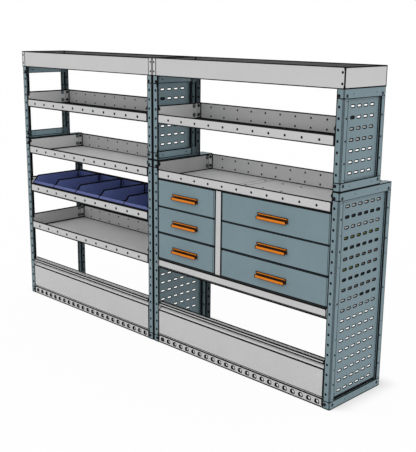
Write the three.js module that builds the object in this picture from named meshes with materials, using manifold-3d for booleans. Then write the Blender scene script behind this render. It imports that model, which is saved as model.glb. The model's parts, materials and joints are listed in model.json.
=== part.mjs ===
// A van drawer system: two racking modules side by side, with shelves, bins, drawers and
// wheel-arch boxes, all folded from sheet steel.
// Millimetres, +Z up, the front towards -Y, the origin under the middle on the van floor.
import * as THREE from 'three';
import { mergeVertices } from 'three/addons/utils/BufferGeometryUtils.js';
import Module from 'manifold-3d';

// Whole rack
const rackWidth = 2500;
const lowerDepth = 422;
const upperDepth = 324;
const lowerHeight = 1051;
const upperHeight = 452;
const topTrayHeight = 97;
const holePitch = 50;
const fitGap = 0.3;

// Upright frames
const frameWidth = 40;
const seamGap = 3;
const seamDepth = 12;
const frameSheet = 2;
const frameBend = 4;
const channelHeight = 42;
const outerLeg = 36;
const legLip = 10;
const spigotLength = 30;
const postHoleRadius = 4.75;
const postHoleInset = 25;
const holeRowMargin = 30;

// Infill panels
const panelSheet = 2;
const panelRecess = 13;
const slotLength = 30;
const slotHeight = 10;
const slotMargin = 20;

// Shelves and top trays
const shelfSheet = 1.5;
const shelfBend = 1.5;
const shelfLip = 47;
const shelfWall = 90;
const shelfTopGap = 3;
const shelfRise = 250;
const upperShelfRise = 207;
const traySeam = 1;

// Bins
const binCount = 5;
const binGap = 0.5;
const binSetback = 8;
const binRearGap = 32;
const binHeight = 93;
const binWall = 2.5;
const binFrontHeight = 46;
const binFrontLean = 5;
const binMouthHeight = 61;
const binShoulder = 47;

// Drawer cabinet
const drawerRows = 3;
const frontHeight = 144.5;
const frontRowGap = 4.5;
const frontTopGap = 10;
const frontBaseGap = 7.5;
const frontSideGap = 2;
const frontReturn = 15;
const frontBend = 4;
const narrowFrontWidth = 431;
const dividerWidth = 47;
const dividerGap = 3;
const cabinetSheet = 1.5;
const cabinetLip = 43;

// Drawers and their runners
const drawerSheet = 1.5;
const boxSideGap = 12;
const boxHeight = 112;
const boxRise = 8;
const boxRearGap = 22;
const runnerRise = 40;
const runnerHeight = 20;
const runnerPlay = 0.8;
const runnerStart = 18;
const ledgeReach = 10;
const ledgeSheet = 1.5;

// Handles
const handleWidth = 192;
const handleHeight = 31;
const handleReach = 19;
const handleDrop = 63;
const handlePlate = 2.5;
const handleStrip = 10;
const handleStripReach = 5;
const handleLip = 13;
const handleLipSheet = 3;
const handleTaper = 9;

// Wheel-arch boxes
const archSheet = 2;
const archBend = 1.5;
const lashingHeight = 47;
const lashingHoleRadius = 12.5;
const railTop = 240;
const railLip = 15;
const railDepth = 25;
const bracketDepth = 36;
const flapSheet = 1.5;
const flapBend = 3;
const flapTop = 197;
const flapLipRise = 15;
const flapPlay = 0.5;
const hingeRadius = 3.5;
const hingeGap = 3.5;
const pinRadius = 2;
const pinPlay = 0.35;
const stopReach = 15;
const stopGap = 6;

// Fineness of the solids
const cornerSteps = 2;
const holeSides = 4;
const lashingSides = 6;
const hingeSides = 8;
const overrun = 5;

// Heights and places that several pieces share
const bayLeft = seamGap / 2 + frameWidth;
const bayRight = rackWidth / 2 - frameWidth;
const bayWidth = bayRight - bayLeft;
const upperBase = lowerHeight + fitGap;
const trayBase = lowerHeight + upperHeight + fitGap;
const deckHeight = lowerHeight - shelfTopGap - shelfWall;
const binDepth = lowerDepth - binSetback - binRearGap;
const frameRadius = frameSheet + frameBend;
const bays = [
  { name: 'left', x: -bayRight },
  { name: 'right', x: bayLeft },
];

const finishes = {
  rackGrey: { color: 0x75888f, roughness: 0.5, metalness: 0.2 },
  lightGrey: { color: 0xbfbfbf, roughness: 0.45, metalness: 0.2 },
  binBlue: { color: 0x343c5c, roughness: 0.55, metalness: 0 },
  handleOrange: { color: 0xf0820a, roughness: 0.4, metalness: 0 },
};

const wasm = await Module();
wasm.setup();

const rack = new THREE.Group();
rack.position.y = (handleReach - lowerDepth) / 2;

function toSolid(geometry) {
  const bare = geometry.clone();
  bare.deleteAttribute('normal');
  bare.deleteAttribute('uv');
  const merged = mergeVertices(bare);
  return new wasm.Manifold(new wasm.Mesh({
    numProp: 3,
    vertProperties: merged.attributes.position.array,
    triVerts: new Uint32Array(merged.index.array),
  }));
}

function toGeometry(solid) {
  const mesh = solid.getMesh();
  const geometry = new THREE.BufferGeometry();
  geometry.setAttribute('position', new THREE.BufferAttribute(mesh.vertProperties, 3));
  geometry.setIndex(new THREE.BufferAttribute(mesh.triVerts, 1));
  const faceted = geometry.toNonIndexed();
  faceted.computeVertexNormals();
  return faceted;
}

function join(geometries) {
  return geometries.map(toSolid).reduce((whole, solid) => whole.add(solid));
}

function cut(solid, geometries) {
  return geometries.map(toSolid).reduce((rest, cutter) => rest.subtract(cutter), solid);
}

function addPiece(parent, name, geometry, finish, place = {}) {
  const mesh = new THREE.Mesh(geometry, new THREE.MeshStandardMaterial(finishes[finish]));
  mesh.name = name;
  mesh.position.set(place.x ?? 0, place.y ?? 0, place.z ?? 0);
  parent.add(mesh);
  return mesh;
}

function addGroup(parent, x, y, z) {
  const group = new THREE.Group();
  group.position.set(x, y, z);
  parent.add(group);
  return group;
}

const point = (x, y) => new THREE.Vector2(x, y);

function arcPoints(centre, radius, from, sweep) {
  const points = [];
  for (let step = 0; step <= cornerSteps; step += 1) {
    const angle = from + sweep * step / cornerSteps;
    points.push(point(centre.x + radius * Math.cos(angle), centre.y + radius * Math.sin(angle)));
  }
  return points;
}

// The closed outline of a folded sheet. The path is one face of the sheet, corner by corner,
// and the sheet lies to the left of the way the path runs. The bend is the inside radius.
function foldedSheet(path, thickness, bend) {
  const face = [];
  const back = [];
  path.forEach((corner, index) => {
    const before = index > 0 ? corner.clone().sub(path[index - 1]).normalize() : null;
    const after = index < path.length - 1 ? path[index + 1].clone().sub(corner).normalize() : null;
    if (!before || !after) {
      const way = before ?? after;
      face.push(corner.clone());
      back.push(corner.clone().addScaledVector(point(-way.y, way.x), thickness));
      return;
    }
    const leftBefore = point(-before.y, before.x);
    const leftAfter = point(-after.y, after.x);
    const turnsLeft = before.cross(after) > 0;
    const side = turnsLeft ? 1 : -1;
    const faceRadius = turnsLeft ? bend + thickness : bend;
    const backRadius = turnsLeft ? bend : bend + thickness;
    const reach = side * faceRadius / (1 + leftBefore.dot(leftAfter));
    const centre = corner.clone().addScaledVector(leftBefore.clone().add(leftAfter), reach);
    const from = Math.atan2(-side * leftBefore.y, -side * leftBefore.x);
    const sweep = side * Math.acos(before.dot(after));
    face.push(...arcPoints(centre, faceRadius, from, sweep));
    back.push(...arcPoints(centre, backRadius, from, sweep));
  });
  return [...face, ...back.reverse()];
}

// A rectangle with its two corners at the low y rounded.
function roundedBelow(x0, x1, y0, y1, radius) {
  return [
    point(x0, y1),
    ...arcPoints(point(x0 + radius, y0 + radius), radius, Math.PI, Math.PI / 2),
    ...arcPoints(point(x1 - radius, y0 + radius), radius, -Math.PI / 2, Math.PI / 2),
    point(x1, y1),
  ];
}

function roundedRectangle(x0, x1, y0, y1, radius) {
  return [
    ...roundedBelow(x0, x1, y0, y1, radius).slice(1, -1),
    ...arcPoints(point(x1 - radius, y1 - radius), radius, 0, Math.PI / 2),
    ...arcPoints(point(x0 + radius, y1 - radius), radius, Math.PI / 2, Math.PI / 2),
  ];
}

function extrudeUp(outline, bottom, height) {
  const shape = new THREE.Shape(outline);
  const geometry = new THREE.ExtrudeGeometry(shape, { depth: height, bevelEnabled: false });
  return geometry.translate(0, 0, bottom);
}

// An outline seen from the side, in y and z, drawn out along X.
function extrudeAcross(outline, start, length) {
  const shape = new THREE.Shape(outline);
  const geometry = new THREE.ExtrudeGeometry(shape, { depth: length, bevelEnabled: false });
  const turn = new THREE.Matrix4().makeBasis(
    new THREE.Vector3(0, 1, 0),
    new THREE.Vector3(0, 0, 1),
    new THREE.Vector3(1, 0, 0),
  );
  return geometry.applyMatrix4(turn).translate(start, 0, 0);
}

// A box whose corners take the given values exactly.
function block(x0, x1, y0, y1, z0, z1) {
  const geometry = new THREE.BoxGeometry(1, 1, 1);
  const corners = geometry.attributes.position;
  for (let index = 0; index < corners.count; index += 1) {
    corners.setXYZ(
      index,
      corners.getX(index) < 0 ? x0 : x1,
      corners.getY(index) < 0 ? y0 : y1,
      corners.getZ(index) < 0 ? z0 : z1,
    );
  }
  return geometry;
}

// A cutter along Y for a round hole in a sheet whose face is at y 0.
function holeCutter(x, z, radius, sheet, sides) {
  const length = sheet + overrun * 2;
  const geometry = new THREE.CylinderGeometry(radius, radius, length, sides);
  return geometry.translate(x, sheet / 2, z);
}

// Places at the given pitch, as many as fit, centred on a length.
function centredRow(length, margin, pitch) {
  const steps = Math.floor((length - margin * 2) / pitch);
  const start = (length - steps * pitch) / 2;
  return Array.from({ length: steps + 1 }, (_, index) => start + index * pitch);
}

// Upright frames. Each frame has one or two halves: a half's outer face stands at its outer
// value, and the half reaches from there one frame width the given way. The two halves of the
// middle frame stand back to back and are bridged behind their seam.
const frames = [
  { name: 'left', x: -rackWidth / 2, halves: [{ outer: 0, way: 1 }] },
  {
    name: 'middle',
    x: 0,
    halves: [{ outer: -seamGap / 2, way: -1 }, { outer: seamGap / 2, way: 1 }],
  },
  { name: 'right', x: rackWidth / 2, halves: [{ outer: 0, way: -1 }] },
];

const inHalf = (half, outline) => outline.map((p) => point(half.outer + half.way * p.x, p.y));

function seamBridge(halves, y0, y1, height) {
  const reach = seamGap / 2 + frameSheet / 2;
  return halves.length > 1 ? [block(-reach, reach, y0, y1, 0, height)] : [];
}

const postLength = (frameHeight) => frameHeight - (channelHeight + fitGap) * 2;

// A post is a folded angle: a face, an outer leg and a lip along the leg's free edge. It is closed
// at each end by a plate that stands on the rim of a cross channel, with a spigot into it.
function postSolid(halves, length, isPerforated) {
  const faceCorner = point(frameRadius, frameRadius);
  const lipCorner = point(frameRadius, outerLeg - frameRadius);
  const quarter = Math.PI / 2;
  const body = [
    ...arcPoints(lipCorner, frameRadius, quarter, quarter),
    ...arcPoints(faceCorner, frameRadius, Math.PI, quarter),
    point(frameWidth, 0),
    point(frameWidth, outerLeg),
  ];
  const hollow = [
    ...arcPoints(lipCorner, frameBend, quarter, quarter),
    ...arcPoints(faceCorner, frameBend, Math.PI, quarter),
    point(frameWidth + overrun, frameSheet),
    point(frameWidth + overrun, outerLeg + overrun),
    point(legLip, outerLeg + overrun),
    point(legLip, outerLeg - frameSheet),
  ];
  const inset = frameSheet + fitGap;
  const spigot = roundedBelow(
    inset,
    frameWidth - inset,
    inset,
    outerLeg - inset,
    frameRadius - inset,
  );
  const bodies = halves.map((half) => extrudeUp(inHalf(half, body), 0, length));
  const hollows = halves.map((half) => extrudeUp(
    inHalf(half, hollow),
    frameSheet,
    length - frameSheet * 2,
  ));
  const spigots = halves.flatMap((half) => [
    extrudeUp(inHalf(half, spigot), -spigotLength, spigotLength + frameSheet / 2),
    extrudeUp(inHalf(half, spigot), length - frameSheet / 2, spigotLength + frameSheet / 2),
  ]);
  const bridge = seamBridge(halves, seamDepth, outerLeg - inset, length);
  const holes = !isPerforated ? [] : halves.flatMap((half) => {
    const x = half.outer + half.way * postHoleInset;
    const rows = centredRow(length, holeRowMargin, holePitch);
    return rows.map((z) => holeCutter(x, z, postHoleRadius, frameSheet, holeSides));
  });
  const shell = cut(join([...bodies, ...bridge]), [...hollows, ...holes]);
  return spigots.map(toSolid).reduce((whole, solid) => whole.add(solid), shell);
}

// A cross channel is a long shallow trough that ties the front post to the rear post.
function channelSolid(halves, depth) {
  const outer = roundedRectangle(0, frameWidth, 0, depth, frameRadius);
  const inner = roundedRectangle(
    frameSheet,
    frameWidth - frameSheet,
    frameSheet,
    depth - frameSheet,
    frameBend,
  );
  const bodies = halves.map((half) => extrudeUp(inHalf(half, outer), 0, channelHeight));
  const hollows = halves.map((half) => extrudeUp(inHalf(half, inner), frameSheet, channelHeight));
  const bridge = seamBridge(halves, seamDepth, depth - seamDepth, channelHeight);
  return cut(join([...bodies, ...bridge]), hollows);
}

// The rear post is a front post turned round, and the top channel is a bottom one turned over.
function addFrame(frame, level, base, height, depth) {
  const group = addGroup(rack, frame.x, 0, base);
  const named = (piece) => `${frame.name}_${level}_${piece}`;
  const turned = frame.halves.map((half) => ({ outer: -half.outer, way: -half.way }));
  const length = postLength(height);
  const foot = channelHeight + fitGap;
  const frontPost = toGeometry(postSolid(frame.halves, length, true));
  addPiece(group, named('front_post'), frontPost, 'rackGrey', { z: foot });
  const rearPost = toGeometry(postSolid(turned, length, false));
  const rear = addPiece(group, named('rear_post'), rearPost, 'rackGrey', { y: depth, z: foot });
  rear.rotation.z = Math.PI;
  const channel = toGeometry(channelSolid(frame.halves, depth));
  addPiece(group, named('bottom_channel'), channel, 'rackGrey');
  const place = { y: depth, z: height };
  const top = addPiece(group, named('top_channel'), channel.clone(), 'rackGrey', place);
  top.rotation.x = Math.PI;
}

// A slotted panel stands in the channels between the posts of the half that closes a bay on its
// right, set back from that half's outer face.
function addPanel(frame, level, base, height, depth) {
  const [half] = frame.halves;
  const y0 = outerLeg + fitGap;
  const y1 = depth - outerLeg - fitGap;
  const z0 = frameSheet + fitGap;
  const z1 = height - frameSheet - fitGap;
  const columns = centredRow(y1 - y0, slotMargin + slotLength / 2, holePitch);
  const rows = centredRow(postLength(height), holeRowMargin, holePitch);
  const slots = rows.flatMap((row) => columns.map((column) => {
    const y = y0 + column;
    const z = channelHeight + fitGap + row;
    return block(
      -overrun,
      panelSheet + overrun,
      y - slotLength / 2,
      y + slotLength / 2,
      z - slotHeight / 2,
      z + slotHeight / 2,
    );
  }));
  const panel = cut(toSolid(block(0, panelSheet, y0, y1, z0, z1)), slots);
  const place = { x: frame.x + half.outer - panelRecess - panelSheet, z: base };
  addPiece(rack, `${frame.name}_${level}_panel`, toGeometry(panel), 'rackGrey', place);
}

for (const frame of frames) {
  addFrame(frame, 'lower', 0, lowerHeight, lowerDepth);
  addFrame(frame, 'upper', upperBase, upperHeight - fitGap, upperDepth);
}
for (const frame of frames.slice(1)) {
  addPanel(frame, 'lower', 0, lowerHeight, lowerDepth);
  addPanel(frame, 'upper', upperBase, upperHeight - fitGap, upperDepth);
}

// An open tray folded from sheet, with a front lip, a rear wall and two ends of their own heights.
function traySolid(width, depth, lip, wall, end, sheet) {
  const body = roundedBelow(0, depth, 0, end, sheet + shelfBend);
  const floor = roundedBelow(sheet, depth - sheet, sheet, sheet + shelfBend, shelfBend);
  const hollow = [
    point(-overrun, lip),
    point(sheet, lip),
    ...floor.slice(1, -1),
    point(depth - sheet, wall),
    point(depth + overrun, wall),
    point(depth + overrun, end + overrun),
    point(-overrun, end + overrun),
  ];
  const whole = toSolid(extrudeAcross(body, 0, width));
  return cut(whole, [extrudeAcross(hollow, sheet, width - sheet * 2)]);
}

function addShelf(bay, number, depth, height) {
  const width = bayWidth - fitGap * 2;
  const shelf = traySolid(width, depth, shelfLip, shelfWall, shelfWall, shelfSheet);
  const place = { x: bay.x + fitGap, z: height };
  addPiece(rack, `${bay.name}_shelf_${number}`, toGeometry(shelf), 'lightGrey', place);
}

const [leftBay, rightBay] = bays;
const leftDecks = [deckHeight - shelfRise * 2, deckHeight - shelfRise, deckHeight];
leftDecks.forEach((height, index) => addShelf(leftBay, index + 1, lowerDepth, height));
addShelf(leftBay, leftDecks.length + 1, upperDepth, lowerHeight + upperShelfRise);
addShelf(rightBay, 1, lowerDepth, deckHeight);
addShelf(rightBay, 2, upperDepth, lowerHeight + upperShelfRise);

for (const bay of bays) {
  const width = (rackWidth - traySeam) / 2;
  const height = topTrayHeight - fitGap;
  const tray = traySolid(width, upperDepth, height, height, height, shelfSheet);
  const x = bay === leftBay ? -rackWidth / 2 : traySeam / 2;
  addPiece(rack, `${bay.name}_top_tray`, toGeometry(tray), 'lightGrey', { x, z: trayBase });
}

// Open-fronted bins stand side by side behind the lip of the middle shelf on the left.
function binGeometry(width) {
  const slope = (binShoulder - binFrontLean) / (binHeight - binFrontHeight);
  const mouth = binFrontLean + slope * (binMouthHeight - binFrontHeight);
  const wallRun = binWall * Math.hypot(1, slope);
  const side = [
    point(0, 0),
    point(binDepth, 0),
    point(binDepth, binHeight),
    point(binShoulder, binHeight),
    point(binFrontLean, binFrontHeight),
  ];
  const hollow = [
    point(binWall, binWall),
    point(binDepth - binWall, binWall),
    point(binDepth - binWall, binHeight + overrun),
    point(-overrun, binHeight + overrun),
    point(-overrun, binMouthHeight),
    point(mouth + wallRun, binMouthHeight),
    point(binFrontLean + wallRun, binFrontHeight),
  ];
  const body = toSolid(extrudeAcross(side, 0, width));
  return toGeometry(cut(body, [extrudeAcross(hollow, binWall, width - binWall * 2)]));
}

const binSpace = bayWidth - (fitGap + shelfSheet) * 2;
const binPitch = (binSpace - binGap) / binCount;
for (let index = 0; index < binCount; index += 1) {
  const place = {
    x: leftBay.x + fitGap + shelfSheet + binGap + binPitch * index,
    y: binSetback,
    z: leftDecks[1] + shelfSheet + fitGap,
  };
  addPiece(rack, `bin_${index + 1}`, binGeometry(binPitch - binGap), 'binBlue', place);
}

// Drawer cabinet. The columns are two spaces between a cabinet side and the divider, and the
// fronts close them; all of it hangs between the right-hand posts, under the deck shelf.
const cabinetHeight = cabinetLip + frontBaseGap + frontHeight * drawerRows
  + frontRowGap * (drawerRows - 1) + frontTopGap;
const cabinetBase = deckHeight - fitGap - cabinetHeight;
const firstRow = cabinetBase + cabinetLip + frontBaseGap;
const cabinetLeft = bayLeft + fitGap;
const cabinetRight = bayRight - fitGap;
const narrowLeft = bayLeft + frontSideGap;
const dividerLeft = narrowLeft + narrowFrontWidth + dividerGap;
const dividerRight = dividerLeft + dividerWidth;
const columns = [
  {
    name: 'narrow',
    front: [narrowLeft, narrowLeft + narrowFrontWidth],
    space: [cabinetLeft + cabinetSheet, dividerLeft],
  },
  {
    name: 'wide',
    front: [dividerRight + dividerGap, bayRight - frontSideGap],
    space: [dividerRight, cabinetRight - cabinetSheet],
  },
];

// The two ledges of one runner, above and below the drawer's bar, from a wall at x.
function ledges(x, way, z) {
  const root = x - way * cabinetSheet / 2;
  const tip = x + way * ledgeReach;
  const [x0, x1] = [Math.min(root, tip), Math.max(root, tip)];
  const low = z + runnerRise - fitGap;
  const high = z + runnerRise + runnerHeight + fitGap;
  const y0 = runnerStart + ledgeSheet;
  const y1 = lowerDepth - boxRearGap;
  return [
    block(x0, x1, y0, y1, low - ledgeSheet, low),
    block(x0, x1, y0, y1, high, high + ledgeSheet),
  ];
}

const rowHeights = Array.from(
  { length: drawerRows },
  (_, row) => firstRow + (frontHeight + frontRowGap) * row,
);

// The cabinet's shell, from its own lower left corner: a tray whose ends stand up behind the
// drawer fronts, and the runners' ledges on them.
function cabinetGeometry() {
  const width = cabinetRight - cabinetLeft;
  const lip = cabinetLip;
  const shell = traySolid(width, lowerDepth, lip, lip, cabinetHeight, cabinetSheet);
  const notch = block(
    -overrun,
    width + overrun,
    -overrun,
    runnerStart,
    lip,
    cabinetHeight + overrun,
  );
  const rails = rowHeights.flatMap((z) => [
    ...ledges(cabinetSheet, 1, z - cabinetBase),
    ...ledges(width - cabinetSheet, -1, z - cabinetBase),
  ]);
  const whole = rails.map(toSolid).reduce((body, rail) => body.add(rail), cut(shell, [notch]));
  return toGeometry(whole);
}

// The divider is a folded column behind the base's lip, open at the back.
function dividerGeometry() {
  const y0 = cabinetSheet + shelfBend + fitGap;
  const y1 = lowerDepth - cabinetSheet - shelfBend - fitGap;
  const path = [
    point(dividerLeft, y1),
    point(dividerLeft, y0),
    point(dividerRight, y0),
    point(dividerRight, y1),
  ];
  const column = foldedSheet(path, cabinetSheet, shelfBend);
  const z0 = cabinetBase + cabinetSheet + fitGap;
  const z1 = cabinetBase + cabinetHeight;
  return toGeometry(join([
    extrudeUp(column, z0, z1 - z0),
    ...rowHeights.flatMap((z) => ledges(dividerLeft, -1, z)),
    ...rowHeights.flatMap((z) => ledges(dividerRight, 1, z)),
  ]));
}

// A drawer, in its own frame: its front's lower left corner is the origin.
function drawerGeometry(column) {
  const [frontLeft, frontRight] = column.front;
  const width = frontRight - frontLeft;
  const path = [point(0, frontReturn), point(0, 0), point(width, 0), point(width, frontReturn)];
  const front = foldedSheet(path, drawerSheet, frontBend);
  const spaceLeft = column.space[0] - frontLeft;
  const spaceRight = column.space[1] - frontLeft;
  const boxLeft = spaceLeft + boxSideGap;
  const boxRight = spaceRight - boxSideGap;
  const rear = lowerDepth - boxRearGap;
  const boxTop = boxRise + boxHeight;
  const barTop = runnerRise + runnerHeight;
  const barRoot = drawerSheet / 2;
  const whole = join([
    extrudeUp(front, 0, frontHeight),
    block(boxLeft, boxRight, drawerSheet / 2, rear, boxRise, boxTop),
    block(spaceLeft + runnerPlay, boxLeft + barRoot, runnerStart, rear, runnerRise, barTop),
    block(boxRight - barRoot, spaceRight - runnerPlay, runnerStart, rear, runnerRise, barTop),
  ]);
  const hollow = block(
    boxLeft + drawerSheet,
    boxRight - drawerSheet,
    drawerSheet,
    rear - drawerSheet,
    boxRise + drawerSheet,
    boxTop + overrun,
  );
  return toGeometry(cut(whole, [hollow]));
}

// A pull with a strip above and a lip below that the fingers reach behind. Its ends slant in
// towards the lip.
function handleGeometry() {
  const reach = handleReach - fitGap;
  const lipBack = reach - handleLipSheet;
  const section = [
    point(0, 0),
    point(0, handleHeight),
    point(-handleStripReach, handleHeight),
    point(-handleStripReach, handleHeight - handleStrip),
    point(-handlePlate, handleHeight - handleStrip),
    point(-handlePlate, handleLipSheet),
    point(-lipBack, handleLipSheet),
    point(-lipBack, handleLip),
    point(-reach, handleLip),
    point(-reach, 0),
  ];
  const geometry = extrudeAcross(section, -handleWidth / 2, handleWidth);
  const places = geometry.attributes.position;
  for (let index = 0; index < places.count; index += 1) {
    const slant = Math.sign(places.getX(index)) * handleTaper * places.getY(index) / reach;
    places.setX(index, places.getX(index) + slant);
  }
  return geometry;
}

const cabinetPlace = { x: cabinetLeft, z: cabinetBase };
addPiece(rack, 'drawer_cabinet', cabinetGeometry(), 'lightGrey', cabinetPlace);
addPiece(rack, 'drawer_divider', dividerGeometry(), 'lightGrey');
for (const column of columns) {
  const drawer = drawerGeometry(column);
  const [frontLeft, frontRight] = column.front;
  rowHeights.forEach((z, row) => {
    const group = addGroup(rack, frontLeft, 0, z);
    addPiece(group, `${column.name}_drawer_${row + 1}`, drawer.clone(), 'rackGrey');
    const place = {
      x: (frontRight - frontLeft) / 2,
      y: -fitGap,
      z: frontHeight - handleDrop - handleHeight,
    };
    addPiece(group, `${column.name}_handle_${row + 1}`, handleGeometry(), 'handleOrange', place);
  });
}

// Wheel-arch boxes. Each has a frame of a lashing rail, a top rail and two end brackets, and a
// flap that folds down on pins at its lower edge.
const hingeHeight = lashingHeight + hingeGap + hingeRadius;
const archWidth = bayWidth - fitGap * 2;

function archFrameGeometry() {
  const lashingPath = [
    point(railDepth, 0),
    point(0, 0),
    point(0, lashingHeight),
    point(railDepth, lashingHeight),
  ].reverse();
  const lashing = foldedSheet(lashingPath, archSheet, archBend);
  const railPath = [point(railDepth, railTop), point(0, railTop), point(0, railTop - railLip)];
  const rail = foldedSheet(railPath, archSheet, archBend);
  const mid = archSheet / 2;
  const bracket = roundedBelow(mid, railTop - mid, mid, bracketDepth, archBend + mid);
  const plate = bracket.map((p) => point(p.y, p.x));
  const stopFront = flapSheet + fitGap;
  const stopLow = hingeHeight + hingeRadius + stopGap;
  const stopHigh = flapTop - stopGap;
  const whole = join([
    extrudeAcross(lashing, 0, archWidth),
    extrudeAcross(rail, 0, archWidth),
    extrudeAcross(plate, 0, archSheet),
    extrudeAcross(plate, archWidth - archSheet, archSheet),
    block(mid, stopReach, stopFront, stopFront + archSheet, stopLow, stopHigh),
    block(archWidth - stopReach, archWidth - mid, stopFront, stopFront + archSheet, stopLow, stopHigh),
  ]);
  const holes = centredRow(archWidth, holeRowMargin, holePitch).map((x) => holeCutter(
    x,
    lashingHeight / 2,
    lashingHoleRadius,
    archSheet,
    lashingSides,
  ));
  const socket = new THREE.CylinderGeometry(
    pinRadius + pinPlay,
    pinRadius + pinPlay,
    archWidth + overrun * 2,
    hingeSides,
  ).rotateZ(Math.PI / 2).translate(archWidth / 2, hingeRadius, hingeHeight);
  return toGeometry(cut(whole, [...holes, socket]));
}

// The flap, in its hinge's frame: the pins' axis is the X axis, and the middle is the origin.
function flapGeometry() {
  const width = archWidth - (archSheet + flapPlay) * 2;
  const face = -hingeRadius;
  const top = flapTop - hingeHeight;
  const path = [
    point(railDepth + face, top + flapLipRise),
    point(face, top),
    point(face, 0),
  ];
  const sheet = foldedSheet(path, flapSheet, flapBend);
  const roll = new THREE.CylinderGeometry(hingeRadius, hingeRadius, width, hingeSides);
  const pinLength = width + (flapPlay + archSheet) * 2 - fitGap * 2;
  const pin = new THREE.CylinderGeometry(pinRadius, pinRadius, pinLength, hingeSides);
  return toGeometry(join([
    extrudeAcross(sheet, -width / 2, width),
    roll.rotateZ(Math.PI / 2),
    pin.rotateZ(Math.PI / 2),
  ]));
}

for (const bay of bays) {
  const group = addGroup(rack, bay.x + fitGap, 0, 0);
  addPiece(group, `${bay.name}_wheel_arch_frame`, archFrameGeometry(), 'lightGrey');
  const hinge = { x: archWidth / 2, y: hingeRadius, z: hingeHeight };
  addPiece(group, `${bay.name}_wheel_arch_flap`, flapGeometry(), 'lightGrey', hinge);
}

export default rack;
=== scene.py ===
# Looks of the van drawer system: folded and powder-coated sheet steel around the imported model.
import json
import math

import bmesh
import bpy
from mathutils import Matrix, Vector
from mathutils.geometry import delaunay_2d_cdt


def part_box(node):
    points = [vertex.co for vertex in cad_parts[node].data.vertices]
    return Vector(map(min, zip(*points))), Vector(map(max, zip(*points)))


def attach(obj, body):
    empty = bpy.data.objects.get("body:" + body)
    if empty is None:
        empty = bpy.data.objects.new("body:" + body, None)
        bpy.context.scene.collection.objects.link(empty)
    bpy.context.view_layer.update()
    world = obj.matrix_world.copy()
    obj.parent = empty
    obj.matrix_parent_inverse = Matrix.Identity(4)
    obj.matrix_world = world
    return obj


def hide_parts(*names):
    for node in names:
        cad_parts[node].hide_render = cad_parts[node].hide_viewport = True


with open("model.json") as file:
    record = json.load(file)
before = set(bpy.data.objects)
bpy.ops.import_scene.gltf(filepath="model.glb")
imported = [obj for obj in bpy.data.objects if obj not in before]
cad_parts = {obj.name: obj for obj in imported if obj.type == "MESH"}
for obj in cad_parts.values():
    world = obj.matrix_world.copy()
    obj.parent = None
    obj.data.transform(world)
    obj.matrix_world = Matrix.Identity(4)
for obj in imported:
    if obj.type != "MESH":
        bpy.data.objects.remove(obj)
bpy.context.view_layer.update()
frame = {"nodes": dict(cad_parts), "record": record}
nodeBody = {
    node: body
    for body, nodes in frame["record"]["behaviour"]["bodies"].items()
    for node in nodes
}
print("model loaded:", len(nodeBody), "nodes")


# The camera stands where the photograph was taken from.
cameraView = {
    "place": (3.3487, -3.1447, 1.759),
    "azimuth": 44.749,
    "elevation": 13.625,
    "roll": 0.573,
    "lens": 65.34,
    "sensor": 36.0,
    "reach": 100.0,
}


def addObject(name, data):
    made = bpy.data.objects.new(name, data)
    bpy.context.scene.collection.objects.link(made)
    return made


def directionOf(azimuth, elevation):
    # from the rack towards a camera or a light; azimuth 0 is straight in front
    turn, rise = math.radians(azimuth), math.radians(elevation)
    level = math.cos(rise)
    return Vector((math.sin(turn) * level, -math.cos(turn) * level, math.sin(rise)))


def placeCamera():
    turn, roll = math.radians(cameraView["azimuth"]), math.radians(cameraView["roll"])
    back = directionOf(cameraView["azimuth"], cameraView["elevation"])
    right = Vector((math.cos(turn), math.sin(turn), 0.0))
    up = back.cross(right)
    rolledRight = right * math.cos(roll) + up * math.sin(roll)
    rolledUp = up * math.cos(roll) - right * math.sin(roll)
    data = bpy.data.cameras.new("viewCamera")
    data.lens = cameraView["lens"]
    data.sensor_width = cameraView["sensor"]
    data.clip_end = cameraView["reach"]
    camera = addObject("viewCamera", data)
    basis = Matrix((rolledRight, rolledUp, back)).transposed().to_4x4()
    camera.matrix_world = Matrix.Translation(cameraView["place"]) @ basis
    bpy.context.scene.camera = camera


# Nodes of a material are made with this: its inputs are values or other nodes' outputs.
def addNode(tree, kind, inputs=None, **settings):
    node = tree.nodes.new(kind)
    for key, value in settings.items():
        setattr(node, key, value)
    for key, value in (inputs or {}).items():
        if isinstance(value, bpy.types.NodeSocket):
            tree.links.new(value, node.inputs[key])
        else:
            node.inputs[key].default_value = value
    return node


def newTree(owner):
    owner.use_nodes = True
    owner.node_tree.nodes.clear()
    return owner.node_tree


def reckon(tree, operation, *values):
    node = addNode(tree, "ShaderNodeMath", dict(enumerate(values)), operation=operation)
    return node.outputs[0]


def mapRange(tree, value, source, target):
    return addNode(tree, "ShaderNodeMapRange", {
        "Value": value, "From Min": source[0], "From Max": source[1],
        "To Min": target[0], "To Max": target[1],
    }).outputs[0]


def mixColours(tree, share, first, second):
    inputs = {0: share, 6: first, 7: second}
    return addNode(tree, "ShaderNodeMix", inputs, data_type="RGBA").outputs[2]


def mixShaders(tree, share, first, second):
    inputs = {0: share, 1: first.outputs[0], 2: second.outputs[0]}
    return addNode(tree, "ShaderNodeMixShader", inputs).outputs[0]


def tone(colour):
    # a screen colour, 0 to 255, as the linear values that Blender mixes
    linear = []
    for value in colour:
        share = value / 255
        linear.append(share / 12.92 if share <= 0.04045 else ((share + 0.055) / 1.055) ** 2.4)
    return (*linear, 1.0)


studio = {
    "ambient": 0.97,
    "keyStrength": 0.4,
    "keyAzimuth": 42.0,
    "keyElevation": 38.0,
    "keySoftness": 35.0,
    "floorSize": 60.0,
    "floorDrop": 0.0005,
    "floorShade": 0.86,
    "floorShare": 0.05,
    "shadowReach": 0.12,
    "shadowSamples": 24,
    "shadowLean": (0.1, -0.94, 0.33),
    "shadowRange": (0.72, 0.97),
    "shadowShade": 0.74,
}


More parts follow.
